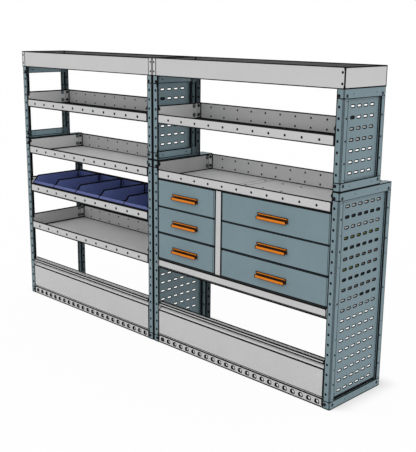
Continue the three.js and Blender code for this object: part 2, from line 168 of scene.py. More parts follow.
def seenDirectly(tree):
    # 1 for what the camera sees, also in a gloss or through glass
    rays = addNode(tree, "ShaderNodeLightPath").outputs
    mirrored = reckon(tree, "MAXIMUM", rays["Is Glossy Ray"], rays["Is Transmission Ray"])
    return reckon(tree, "MAXIMUM", rays["Is Camera Ray"], mirrored)


def lightStudio():
    world = bpy.data.worlds.new("studioWorld")
    bpy.context.scene.world = world
    tree = newTree(world)
    white = (1.0, 1.0, 1.0, 1.0)
    soft = addNode(tree, "ShaderNodeBackground", {"Color": white, "Strength": studio["ambient"]})
    bright = addNode(tree, "ShaderNodeBackground", {"Color": white, "Strength": 1.0})
    mixed = mixShaders(tree, seenDirectly(tree), soft, bright)
    addNode(tree, "ShaderNodeOutputWorld", {"Surface": mixed})

    data = bpy.data.lights.new("keyLight", "SUN")
    data.energy = studio["keyStrength"]
    data.angle = math.radians(studio["keySoftness"])
    lamp = addObject("keyLight", data)
    lamp.rotation_mode = "QUATERNION"
    back = directionOf(studio["keyAzimuth"], studio["keyElevation"])
    lamp.rotation_quaternion = (-back).to_track_quat("-Z", "Y")


def layFloor():
    material = bpy.data.materials.new("paleFloor")
    tree = newTree(material)
    shade = studio["floorShade"]
    plain = addNode(tree, "ShaderNodeBsdfDiffuse", {"Color": (shade, shade, shade, 1.0)})
    # a painted shadow close to the feet, from ambient occlusion about a leaning normal, deepest
    # beside and behind them
    lean = addNode(tree, "ShaderNodeCombineXYZ", dict(enumerate(studio["shadowLean"])))
    near = addNode(tree, "ShaderNodeAmbientOcclusion", {
        "Distance": studio["shadowReach"], "Normal": lean.outputs[0],
    }, samples=studio["shadowSamples"])
    soft = mapRange(tree, near.outputs["AO"], studio["shadowRange"], (studio["shadowShade"], 1.0))
    bright = addNode(tree, "ShaderNodeEmission", {"Color": soft, "Strength": 1.0})
    share = reckon(tree, "MULTIPLY", seenDirectly(tree), 1.0 - studio["floorShare"])
    mixed = mixShaders(tree, share, plain, bright)
    addNode(tree, "ShaderNodeOutputMaterial", {"Surface": mixed})
    mesh = bpy.data.meshes.new("vanFloor")
    half = studio["floorSize"] / 2
    corners = [(x, y, 0.0) for x, y in rectangle(-half, half, -half, half)]
    mesh.from_pydata(corners, [], [(0, 1, 2, 3)])
    mesh.materials.append(material)
    floor = addObject("vanFloor", mesh)
    floor.location.z = -studio["floorDrop"]


# Finishes. Each has its colour, the colour of faces that lie inside and that of cut and folded
# edges, a slow cloudiness, a fine grain and a range of roughness. The inside colour is painted
# light and shade: darker than the colour where it is painted shade, lighter where it is painted
# light. What a finish leaves out is as in plainFinish.
plainFinish = {
    "edge": (8, 8, 9), "metallic": 0.0, "rough": (0.40, 0.56), "cloud": 0.03, "cloudScale": 4.0,
    "grain": 0.04, "grainScale": 900.0, "bump": 0.00012,
}
finishes = {
    "rackGrey": {
        "colour": (116, 136, 143), "inside": (100, 114, 120), "edge": (7, 10, 12),
        "rough": (0.42, 0.58), "cloud": 0.05, "cloudScale": 5.0, "grain": 0.05,
    },
    "lightGrey": {"colour": (194, 194, 194), "inside": (200, 200, 200)},
    # a lighter copy of rackGrey: painted light
    "rackPale": {
        "colour": (134, 157, 165), "inside": (130, 150, 158), "edge": (7, 10, 12),
        "rough": (0.42, 0.58), "cloud": 0.05, "cloudScale": 5.0, "grain": 0.06,
    },
    # a lighter copy of lightGrey: painted light
    "lightPale": {"colour": (232, 232, 232), "inside": (232, 232, 232)},
    # a darker copy of lightGrey: painted shade
    "lightDim": {
        "colour": (168, 168, 168), "inside": (166, 166, 166), "rough": (0.44, 0.6),
        "cloud": 0.05, "cloudScale": 6.0, "grain": 0.05,
    },
    # lightGrey with a lighter inside colour: painted light
    "lightRear": {"colour": (194, 194, 194), "inside": (214, 214, 214)},
    # a dark grey for the inner faces of the trays: painted shade
    "trayLining": {
        "colour": (104, 104, 104), "inside": (104, 104, 104), "edge": (8, 8, 8),
        "rough": (0.62, 0.8), "cloud": 0.08, "cloudScale": 9.0,
        "grain": 0.10, "grainScale": 500.0, "bump": 0.0003,
    },
    "binBlue": {
        "colour": (88, 99, 152), "inside": (98, 111, 164), "edge": (4, 4, 8),
        "rough": (0.38, 0.5), "cloud": 0.05, "cloudScale": 8.0,
        "grain": 0.06, "grainScale": 1400.0, "bump": 0.0002,
    },
    # a dark brown for the handle's plate: painted shade
    "handleShade": {
        "colour": (58, 32, 10), "inside": (40, 22, 8), "edge": (12, 7, 3),
        "rough": (0.4, 0.55), "cloud": 0.05, "cloudScale": 20.0,
        "grain": 0.05, "grainScale": 1600.0, "bump": 0.00015,
    },
    # a colour for strips seen through the panel slots
    "brownZinc": {
        "colour": (104, 96, 92), "inside": (80, 74, 70), "edge": (12, 11, 10),
        "metallic": 0.2, "rough": (0.4, 0.55), "cloud": 0.15, "cloudScale": 30.0,
        "grain": 0.1, "grainScale": 700.0, "bump": 0.00015,
    },
    "handleOrange": {
        "colour": (214, 119, 6), "inside": (150, 78, 20), "edge": (12, 7, 3),
        "rough": (0.34, 0.46), "cloud": 0.05, "cloudScale": 20.0,
        "grain": 0.05, "grainScale": 1600.0, "bump": 0.00015,
    },
    # black for real black parts, and as painted shade in gaps and hollows
    "blackSteel": {
        "colour": (14, 15, 17), "inside": (12, 13, 14), "edge": (5, 5, 6),
        "rough": (0.35, 0.6), "cloud": 0.2, "cloudScale": 60.0,
        "grain": 0.2, "grainScale": 1200.0, "bump": 0.0002,
    },
    # a colour for strips seen through the panel slots
    "oliveZinc": {
        "colour": (104, 106, 58), "inside": (80, 82, 44), "edge": (12, 12, 8),
        "metallic": 0.3, "rough": (0.35, 0.5), "cloud": 0.2, "cloudScale": 30.0,
        "grain": 0.1, "grainScale": 700.0, "bump": 0.00015,
    },
    "zincSteel": {
        "colour": (128, 141, 150), "inside": (100, 108, 114), "edge": (7, 8, 9),
        "metallic": 0.5, "rough": (0.25, 0.42), "cloud": 0.08, "cloudScale": 40.0,
        "grain": 0.1, "grainScale": 700.0, "bump": 0.00015,
    },
}
coatLook = {
    "noiseRange": (0.3, 0.7),
    "cloudDetail": 5.0,
    "cloudRoughness": 0.6,
    "grainDetail": 2.0,
    "bumpStrength": 0.6,
    "specular": 0.2,
}
edgeLook = {"range": (0.34, 0.46), "wear": 0.10, "wearScale": 240.0, "wearDetail": 3.0}


def finishMaterial(name, values):
    material = bpy.data.materials.new(name)
    tree = newTree(material)
    place = addNode(tree, "ShaderNodeTexCoord").outputs["Object"]

    def noise(scale, detail, roughness=0.5):
        return addNode(tree, "ShaderNodeTexNoise", {
            "Vector": place, "Scale": scale, "Detail": detail, "Roughness": roughness,
        }).outputs["Fac"]

    def aroundOne(value, amount):
        return mapRange(tree, value, coatLook["noiseRange"], (1.0 - amount, 1.0 + amount))

    cloud = noise(values["cloudScale"], coatLook["cloudDetail"], coatLook["cloudRoughness"])
    grain = noise(values["grainScale"], coatLook["grainDetail"])
    raggedNoise = noise(edgeLook["wearScale"], edgeLook["wearDetail"])
    # faces marked by innerShade take the inside colour: painted light and shade
    inner = addNode(tree, "ShaderNodeAttribute", attribute_name="innerShade").outputs["Fac"]
    line = addNode(tree, "ShaderNodeAttribute", attribute_name="edgeLine").outputs["Fac"]
    base = mixColours(tree, inner, tone(values["colour"]), tone(values["inside"]))
    cloudy, grainy = aroundOne(cloud, values["cloud"]), aroundOne(grain, values["grain"])
    strength = reckon(tree, "MULTIPLY", cloudy, grainy)
    varied = addNode(tree, "ShaderNodeVectorMath", {0: base, 1: strength}, operation="MULTIPLY")

    # the dark line along edges, folds and hole rims, partly a drawn outline and partly painted
    # shade in folds, gaps and holes, made a little ragged by a noise
    ragged = reckon(tree, "MULTIPLY_ADD", raggedNoise, edgeLook["wear"], line)
    drawn = mapRange(tree, ragged, edgeLook["range"], (0.0, 1.0))
    outlined = mixColours(tree, drawn, varied.outputs[0], tone(values["edge"]))
    rough = mapRange(tree, cloud, coatLook["noiseRange"], values["rough"])
    bump = addNode(tree, "ShaderNodeBump", {
        "Height": grain, "Strength": coatLook["bumpStrength"], "Distance": values["bump"],
    })
    shader = addNode(tree, "ShaderNodeBsdfPrincipled", {
        "Base Color": outlined,
        "Roughness": reckon(tree, "MAXIMUM", rough, drawn),
        "Metallic": values["metallic"],
        "Specular IOR Level": coatLook["specular"],
        "Normal": bump.outputs[0],
    })
    addNode(tree, "ShaderNodeOutputMaterial", {"Surface": shader.outputs[0]})
    return material


# Mesh making. A part is one closed body of its own; a piece is several parts in one mesh.
nearness = 1e-6
cutGap = 1e-7
weldGap = 2e-6
sharpAngle = 33.0
edgeBand = 0.0095
foldBand = 0.0035
bandLimit = 0.45  # the largest share of a flat that a band takes up
# a softly dark fold is painted shade on a rounded corner
foldShadeMark = 0.362  # how dark a softly dark fold is
lineScale = {"left": 1.3, "bin": 1.2, "middle": 1.12}


def lineBand(name, share=1.0):
    return edgeBand * share * lineScale.get(name.split("_")[0], 1.0)


def isAt(value, other):
    return abs(value - other) < nearness


def rectangle(x0, x1, y0, y1):
    return [(x0, y0), (x1, y0), (x1, y1), (x0, y1)]


def placer(origin, axes, scales=(1, 1, 1)):
    # puts u, v and w of a shape along the named axes from an origin, each with its scale
    order = ["xyz".index(axis) for axis in axes]

    def place(*amounts):
        spot = list(origin)
        for index, scale, amount in zip(order, scales, amounts):
            spot[index] += scale * amount
        return Vector(spot)

    return place


def newPart():
    bm = bmesh.new()
    bm.loops.layers.float.new("edgeLine")
    bm.loops.layers.float.new("innerShade")
    return bm


def addFace(bm, points, finish=0, marks=None, shade=0.0):
    face = bm.faces.new([bm.verts.new(p) for p in points])
    face.material_index = finish
    lineLayer = bm.loops.layers.float["edgeLine"]
    shadeLayer = bm.loops.layers.float["innerShade"]
    for index, loop in enumerate(face.loops):
        loop[lineLayer] = marks[index] if marks else 0.0
        loop[shadeLayer] = shade


def closePart(piece, bm):
    bmesh.ops.remove_doubles(bm, verts=bm.verts, dist=weldGap)
    bmesh.ops.recalc_face_normals(bm, faces=bm.faces)
    mesh = bpy.data.meshes.new("part")
    bm.to_mesh(mesh)
    bm.free()
    piece.from_mesh(mesh)
    bpy.data.meshes.remove(mesh)


def finishPiece(name, piece, looks, slotName, *nodes):
    mesh = bpy.data.meshes.new(name)
    piece.to_mesh(mesh)
    piece.free()
    for look in looks:
        mesh.materials.append(materials[look])
    mesh.polygons.foreach_set("use_smooth", [True] * len(mesh.polygons))
    mesh.set_sharp_from_angle(angle=math.radians(sharpAngle))
    made = addObject(name, mesh)
    even = made.modifiers.new("evenShading", "WEIGHTED_NORMAL")
    even.keep_sharp = True
    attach(made, nodeBody[nodes[0]])
    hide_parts(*nodes)


def roundLoop(s, w, width, height, radius, steps):
    # a rectangle with round corners, or a circle or slot where the radius is half a side
    points = []
    for corner, (along, across) in enumerate(((1, 1), (-1, 1), (-1, -1), (1, -1))):
        centre = (s + along * (width / 2 - radius), w + across * (height / 2 - radius))
        for step in range(steps + 1):
            angle = math.pi / 2 * (corner + step / steps)
            spot = (centre[0] + radius * math.cos(angle), centre[1] + radius * math.sin(angle))
            if not points or math.dist(spot, points[-1]) > nearness:
                points.append(spot)
    if math.dist(points[0], points[-1]) < nearness:
        points.pop()
    return points


def hole(segment, s, w, width, height=None, radius=None, ring=0.0, steps=3):
    height = height or width
    radius = radius or min(width, height) / 2
    loop = roundLoop(s, w, width, height, radius, steps)
    rim = None
    if ring:
        rim = roundLoop(s, w, width + ring * 2, height + ring * 2, radius + ring, steps)
    return {"segment": segment, "loop": loop, "ring": rim}


def seam(segment, s0, s1, w0, w1):
    # a thin dark band on a flat: a seam on the deck, a dark line along a foot, painted shade at
    # the rear of a shelf's floor
    return {"segment": segment, "inlay": rectangle(s0, s1, w0, w1)}


def insetLoop(loop, distance):
    # the same convex outline, drawn in by a distance
    inset = []
    for index, point in enumerate(loop):
        corner = Vector(point)
        before = (corner - Vector(loop[index - 1])).normalized()
        after = (Vector(loop[(index + 1) % len(loop)]) - corner).normalized()
        left = Vector((-before.y - after.y, before.x + after.x))
        spot = corner + left * (distance / (1 + before.dot(after)))
        inset.append((spot.x, spot.y))
    return inset


def fillFlat(outline, holes, rules, line=0.0):
    # triangles of a flat with holes; rules are lines across it, as pairs of points
    coords, edges, faces, marked = [], [], [], set()

    def addLoop(loop, isMarked):
        first = len(coords)
        coords.extend(loop)
        numbers = list(range(first, len(coords)))
        edges.extend(zip(numbers, numbers[1:] + numbers[:1]))
        if isMarked:
            marked.update(numbers)
        return numbers

    faces.append(addLoop(outline, line > 0))
    if line:
        addLoop(insetLoop(outline, line), False)
    cutCount = 1
    for item in holes:
        if "loop" in item:
            faces.append(addLoop(item["loop"], bool(item["ring"])))
            cutCount += 1
            if item["ring"]:
                addLoop(item["ring"], False)
    for item in holes:
        if "inlay" in item:
            faces.append(addLoop(item["inlay"], False))
    for start, end in rules:
        coords.extend((start, end))
        edges.append((len(coords) - 2, len(coords) - 1))
    found = delaunay_2d_cdt([Vector(p) for p in coords], edges, faces, 0, cutGap, True)
    points, _, triangles, sources, _, owners = found
    kept = []
    for triangle, owner in zip(triangles, owners):
        if 0 in owner and not any(0 < number < cutCount for number in owner):
            kept.append((triangle, any(number >= cutCount for number in owner)))
    isMarked = [any(number in marked for number in source) for source in sources]
    return points, kept, isMarked


def outerEdges(kept):
    counts = {}
    for triangle, _ in kept:
        for a, b in zip(triangle, triangle[1:] + triangle[:1]):
            counts.setdefault(frozenset((a, b)), []).append((a, b))
    return [found[0] for found in counts.values() if len(found) == 1]


def cornerOf(path, index, thickness, bend):
    # the bend at a corner: its centre, radii, first angle, sweep and run along the flats
    before = (Vector(path[index]) - Vector(path[index - 1])).normalized()
    after = (Vector(path[index + 1]) - Vector(path[index])).normalized()
    cross = before.x * after.y - before.y * after.x
    side = 1 if cross > 0 else -1
    faceRadius, backRadius = (bend + thickness, bend) if side > 0 else (bend, bend + thickness)
    leftBefore, leftAfter = Vector((-before.y, before.x)), Vector((-after.y, after.x))
    reach = side * faceRadius / (1 + leftBefore.dot(leftAfter))
    sweep = side * math.acos(max(-1.0, min(1.0, before.dot(after))))
    return {
        "centre": Vector(path[index]) + (leftBefore + leftAfter) * reach,
        "radii": (faceRadius, backRadius),
        "start": math.atan2(-side * leftBefore.y, -side * leftBefore.x),
        "sweep": sweep,
        "run": faceRadius * math.tan(abs(sweep) / 2),
    }


def spanQuad(place, p, q, low, high):
    # the face between two points of a section, from one place in the span to another
    return [place(*p, low), place(*q, low), place(*q, high), place(*p, high)]


# A folded sheet. The path is one face of it, corner by corner, in two axes; the sheet lies to
# the left of the way the path runs, and it spans the third axis. Holes give their segment, the
# distance along it from its first corner and the place in the span. A fold is drawn as a line
# at each tangent, dark all over, softly dark or not at all; softly dark is painted shade on a
# rounded corner. Shades, tones and paints give faces painted light and shade: the finish's
# inside colour, or another finish for a segment.
def addSheet(piece, place, path, span, thickness, bend=0.0, holes=(), steps=4,
             band=edgeBand, ends=(True, True), folds="line", shades=(0.0, 0.0),
             looks=(0, 0), outlines=None, foldLine=foldBand, tones=None, paints=None):
    bm = newPart()
    w0, w1 = span
    band = min(band, (w1 - w0) * bandLimit)
    cuts = [w0] + ([w0 + band] if ends[0] else []) + ([w1 - band] if ends[1] else []) + [w1]
    count = len(path)
    bends = bend if isinstance(bend, dict) else dict.fromkeys(range(count), bend)
    corners = {
        index: cornerOf(path, index, thickness, bends[index]) for index in range(1, count - 1)
    }

    def foldOf(index):
        return folds.get(index, "none") if isinstance(folds, dict) else folds

    for number in range(count - 1):
        last = number + 1
        start, finish = Vector(path[number]), Vector(path[last])
        way = (finish - start).normalized()
        left = Vector((-way.y, way.x))
        s0 = corners[number]["run"] if number in corners else 0.0
        s1 = (finish - start).length - (corners[last]["run"] if last in corners else 0.0)
        shape = (outlines or {}).get(number)
        faceShade, backShade = (tones or {}).get(number, shades)
        painted = [(paints or {}).get(number, look) for look in looks]
        drawn, rules = {}, []
        for corner, s, inward in ((number, s0, 1), (last, s1, -1)):
            free = corner not in corners
            drawn[s] = free or foldOf(corner) in ("line", "dark")
            width = foldLine.get(corner, foldBand) if isinstance(foldLine, dict) else foldLine
            width = min(band if free else width, (s1 - s0) * bandLimit)
            if drawn[s] and not shape:
                rules.append(((s + inward * width, w0), (s + inward * width, w1)))
        if not shape:
            rules += [((s0, w), (s1, w)) for w in cuts[1:-1]]
        own = [item for item in holes if item["segment"] == number]
        points, kept, isMarked = fillFlat(
            shape or rectangle(s0, s1, w0, w1), own, rules, band if shape else 0.0)

        def markOf(index):
            s, w = points[index]
            onEdge = (
                (ends[0] and isAt(w, w0)) or (ends[1] and isAt(w, w1))
                or any(isDrawn and isAt(s, at) for at, isDrawn in drawn.items())
            )
            return float(isMarked[index] or (onEdge and not shape))

        def spot(index, depth):
            s, w = points[index]
            flat = start + way * s + left * depth
            return place(flat.x, flat.y, w)

        for triangle, isInlay in kept:
            marks = [1.0 if isInlay else markOf(index) for index in triangle]
            addFace(bm, [spot(i, 0.0) for i in triangle], painted[0], marks, faceShade)
            addFace(bm, [spot(i, thickness) for i in triangle], painted[1], marks, backShade)
        for a, b in outerEdges(kept):
            sa, sb = points[a][0], points[b][0]
            atFold = any(
                corner in corners and isAt(sa, s) and isAt(sb, s)
                for corner, s in ((number, s0), (last, s1))
            )
            if not atFold:
                rim = [spot(a, 0.0), spot(b, 0.0), spot(b, thickness), spot(a, thickness)]
                addFace(bm, rim, looks[0], [1.0] * 4, faceShade)

    for index, corner in corners.items():
        rows = []
        for step in range(steps + 1):
            angle = corner["start"] + corner["sweep"] * step / steps
            way = Vector((math.cos(angle), math.sin(angle)))
            rows.append([corner["centre"] + way * radius for radius in corner["radii"]])
        fold = foldOf(index)
        for step in range(steps):
            edgeMarks = [{"dark": 1.0, "soft": foldShadeMark}.get(fold, 0.0)] * 2
            if fold == "line":
                edgeMarks = [float(step == 0), float(step == steps - 1)]
            along = [edgeMarks[0], edgeMarks[1], edgeMarks[1], edgeMarks[0]]
            for side in (0, 1):
                for low, high in zip(cuts, cuts[1:]):
                    atLow = float(ends[0] and low == w0)
                    atHigh = float(ends[1] and high == w1)
                    marks = [max(pair) for pair in zip(along, (atLow, atLow, atHigh, atHigh))]
                    quad = spanQuad(place, rows[step][side], rows[step + 1][side], low, high)
                    addFace(bm, quad, looks[side], marks, shades[side])
            for w in (w0, w1):
                quad = [rows[step][0], rows[step + 1][0], rows[step + 1][1], rows[step][1]]
                addFace(bm, [place(*p, w) for p in quad], looks[0], [1.0] * 4, shades[0])
    closePart(piece, bm)


# A flat plate of any outline, in two axes, between two values of the third.
def addPlate(piece, place, outline, low, high, holes=(), look=0, shade=0.0, rimMark=1.0,
             line=0.0):
    bm = newPart()
    points, kept, isMarked = fillFlat(outline, list(holes), [], line)
    for triangle, isInlay in kept:
        marks = [float(isInlay or isMarked[index]) for index in triangle]
        for depth in (low, high):
            addFace(bm, [place(*points[i], depth) for i in triangle], look, marks, shade)
    for a, b in outerEdges(kept):
        rim = spanQuad(place, points[a], points[b], low, high)
        addFace(bm, rim, look, [rimMark] * 4, shade)
    closePart(piece, bm)


def addBlock(piece, x0, x1, y0, y1, z0, z1, look=0, shade=0.0, rimMark=0.0):
    outline, place = rectangle(x0, x1, y0, y1), placer((0.0, 0.0, 0.0), "xyz")
    addPlate(piece, place, outline, z0, z1, (), look, shade, rimMark)


# A bar of one section, from -1 to 1 on the third axis, with a dark line on each long edge and
# each end.
def addBar(piece, place, section, line, endLine, look=0):
    bm = newPart()
    points, kept, isMarked = fillFlat(section, [], [], line)
    for depth in (-1.0, 1.0):
        for triangle, _ in kept:
            marks = [float(isMarked[index]) for index in triangle]
            addFace(bm, [place(*points[i], depth) for i in triangle], look, marks)
    spans = [(-1.0, 1.0), (-1.0 + endLine, 0.0), (1.0 - endLine, 0.0), (1.0, 1.0)]
    for index, point in enumerate(section):
        start, finish = Vector(point), Vector(section[(index + 1) % len(section)])
        length = (finish - start).length
        steps = [(0.0, 1.0), (1.0, 1.0)]
        if length > line * 2:
            steps[1:1] = [(line / length, 0.0), (1 - line / length, 0.0)]
        for (a, markA), (b, markB) in zip(steps, steps[1:]):
            p, q = start.lerp(finish, a), start.lerp(finish, b)
            for (w0, end0), (w1, end1) in zip(spans, spans[1:]):
                marks = [max(markA, end0), max(markB, end0), max(markB, end1), max(markA, end1)]
                addFace(bm, spanQuad(place, p, q, w0, w1), look, marks)
    closePart(piece, bm)


# A turned part: rings of a radius and a height along an axis, each step with its own mark.
def addTurned(piece, origin, axis, profile, sides, look=0, marks=None):
    bm = newPart()
    along = Vector(axis).normalized()
    across = along.orthogonal().normalized()
    other = along.cross(across)
    rings = []
    for radius, height in profile:
        centre = Vector(origin) + along * height
        turns = [math.tau * (index + 0.5) / sides for index in range(sides)]
        ring = [centre + (across * math.cos(t) + other * math.sin(t)) * radius for t in turns]
        rings.append(ring if radius > 0 else [centre])
    for number, (lower, upper) in enumerate(zip(rings, rings[1:])):
        mark = marks[number] if marks else 0.0
        for index in range(sides):
            follow = (index + 1) % sides
            if len(lower) == 1:
                points = [lower[0], upper[follow], upper[index]]
            elif len(upper) == 1:
                points = [lower[index], lower[follow], upper[0]]
            else:
                points = [lower[index], lower[follow], upper[follow], upper[index]]
            addFace(bm, points, look, [mark] * len(points))
    closePart(piece, bm)


# Shares of a bolt's radius and height, and of an insert's radius and depth.
boltLook = {
    "sides": 14, "ring": 0.26, "rimHeight": 0.6, "socket": 0.34, "socketTaper": 0.9,
    "socketFloor": 0.5, "socketMark": 0.42,
}
insertLook = {"sides": 8, "bore": 0.55, "mouth": 1.1, "width": 1.03, "boreDepth": 0.85}


def addBolt(piece, origin, axis, radius, height, look=1):
    # a button head with a dark rim and a socket; the axis points out of the sheet
    values = boltLook
    crown, socket = radius * (1 - values["ring"]), radius * values["socket"]
    floor = height * values["socketFloor"]
    profile = [
        (0.0, 0.0), (radius, 0.0), (radius, height * values["rimHeight"]), (crown, height),
        (socket, height), (socket * values["socketTaper"], floor), (0.0, floor),
    ]
    marks = [0.0, 1.0, 1.0, 0.0, 0.0, values["socketMark"]]
    addTurned(piece, origin, axis, profile, values["sides"], look, marks)


def addInsert(piece, origin, axis, radius, seat, depth):
    # a black threaded insert behind a hole; the axis points into the sheet
    values = insertLook
    bore, width = radius * values["bore"], radius * values["width"]
    floor = depth * values["boreDepth"]
    profile = [
        (0.0, floor), (bore, floor), (bore * values["mouth"], seat), (width, seat),
        (width, depth), (0.0, depth),
    ]
    addTurned(piece, origin, axis, profile, values["sides"], 1)


def centredRow(length, margin, pitch):
    count = math.floor((length - margin * 2) / pitch + nearness)
    start = (length - count * pitch) / 2
    return [start + index * pitch for index in range(count + 1)]


def camel(name):
    words = name.split("_")
    return words[0] + "".join(word.capitalize() for word in words[1:])


# Upright frames
upright = {
    "width": 0.040,
    "seam": 0.003,
    "sheet": 0.002,
    "bend": 0.004,
    "outerLeg": 0.036,
    "legLip": {"left": 0.017, "middle": 0.010, "right": 0.010},
    "lipBend": 0.002,
    "innerLine": 1.5,
    "cornerBend": 0.007,
    "gap": 0.0003,
    "bridgeInsets": (0.012, 0.0023),
    "pitch": 0.050,
    "rowMargin": 0.030,
    "faceInset": 0.025,
    "faceHole": 0.0098,
    "sideInset": 0.0225,
    "sideHole": 0.0092,
    "faintHole": 0.0050,
    "insert": (0.0012, 0.006),
    "ring": {"left": 0.0051, "middle": 0.0040, "right": 0.003},
    "strongHoles": {
        "lower": (0.125, 0.275, 0.525, 0.775, 0.925),
        "upper": (1.177, 1.277, 1.377),
    },
    "faintHoles": {
        "lower": (0.0505, 0.200, 0.350, 0.7005, 0.850, 1.0005),
        "upper": (1.1020, 1.4515),
    },
}
channel = {
    "boltRadius": 0.0082,
    "boltHeight": 0.003,
    "boltSunk": 0.0012,
    "boltPlay": 0.001,
    "frontBoltInset": 0.028,
    "sideBoltFront": 0.023,
    "sideBoltRear": 0.027,
    "smallHole": 0.006,
    "insert": (0.001, 0.005),
    "boltRise": {
        ("lower", "bottom"): 0.0225,
        ("lower", "top"): 0.0305,
        ("upper", "bottom"): 0.0255,
        ("upper", "top"): 0.0285,
    },
    "smallHoles": {"lower": (0.123, 0.300), "upper": (0.071, 0.248)},
    "smallHoleRise": 0.021,
    "lineShare": 0.75,
    "backShade": 0.3,
    "baseLine": (0.0002, 0.0055),
    "bridgeInset": 0.012,
    "ledge": 0.009,
}


def halvesOf(side, low, high):
    if side == "left":
        return [(low.x, 1)]
    if side == "right":
        return [(high.x, -1)]
    middle, seamHalf = (low.x + high.x) / 2, upright["seam"] / 2
    return [(middle - seamHalf, -1), (middle + seamHalf, 1)]


def addBridge(piece, low, high, *spans):
    # the black web in the seam of the middle frame; its black is painted shade in the seam
    middle, seamHalf = (low.x + high.x) / 2, upright["seam"] / 2
    addBlock(piece, middle - seamHalf, middle + seamHalf, *spans, 1)


def postRows(side, level):
    # the foot and head of a frame's posts, and the heights of their rows of holes
    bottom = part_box(f"{side}_{level}_bottom_channel")[1].z + upright["gap"]
    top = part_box(f"{side}_{level}_top_channel")[0].z - upright["gap"]
    rows = centredRow(top - bottom, upright["rowMargin"], upright["pitch"])
    return bottom, top, [bottom + z for z in rows]


def makePost(side, level, end):
    node = f"{side}_{level}_{end}_post"
    low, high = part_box(node)
    bottom, top, rows = postRows(side, level)
    faceY, inward = (low.y, 1) if end == "front" else (high.y, -1)
    leg, inset, sideInset = upright["outerLeg"], upright["faceInset"], upright["sideInset"]
    ring, lip = upright["ring"][side], upright["legLip"][side]
    path = [(lip, leg), (0.0, leg), (0.0, 0.0), (upright["width"], 0.0)]
    isRound = side == "right" and end == "front"
    fold, bend = ("soft", upright["cornerBend"]) if isRound else ("dark", upright["bend"])
    piece = newPart()
    for outer, way in halvesOf(side, low, high):
        place = placer((outer, faceY, 0.0), "xyz", (way, inward, 1))
        holes, inserts = [], []
        for z in rows:
            holes.append(hole(2, inset, z, upright["faceHole"], ring=ring))
            inserts.append((place(inset, 0.0, z), (0, inward, 0), upright["faceHole"]))
        for size, heights in (("sideHole", "strongHoles"), ("faintHole", "faintHoles")):
            for z in upright[heights][level]:
                holes.append(hole(1, leg - sideInset, z, upright[size], ring=ring / 2))
                inserts.append((place(0.0, sideInset, z), (way, 0, 0), upright[size]))
        share = upright["innerLine"] if side == "middle" and way > 0 else 1.0
        # the inside of the face takes the inside colour, painted shade; the lip of the left posts
        # is black, painted shade in the post's hollow; the round corner of the right front post
        # is softly dark, painted shade
        addSheet(piece, place, path, (bottom, top), upright["sheet"],
                 {1: upright["lipBend"], 2: bend}, holes, steps=6, ends=(False, False),
                 folds={1: "dark", 2: fold}, band=lineBand(node, share),
                 tones={2: (0.0, 1.0)}, paints={0: 1} if side == "left" else None)
        for spot, axis, size in inserts:
            addInsert(piece, spot, axis, size / 2, *upright["insert"])
    if side == "middle":
        near, far = upright["bridgeInsets"]
        y0, y1 = sorted((faceY + inward * near, faceY + inward * (leg - far)))
        addBridge(piece, low, high, y0, y1, bottom, top)
    finishPiece(camel(node), piece, ["rackGrey", "blackSteel"], "rack_grey", node)


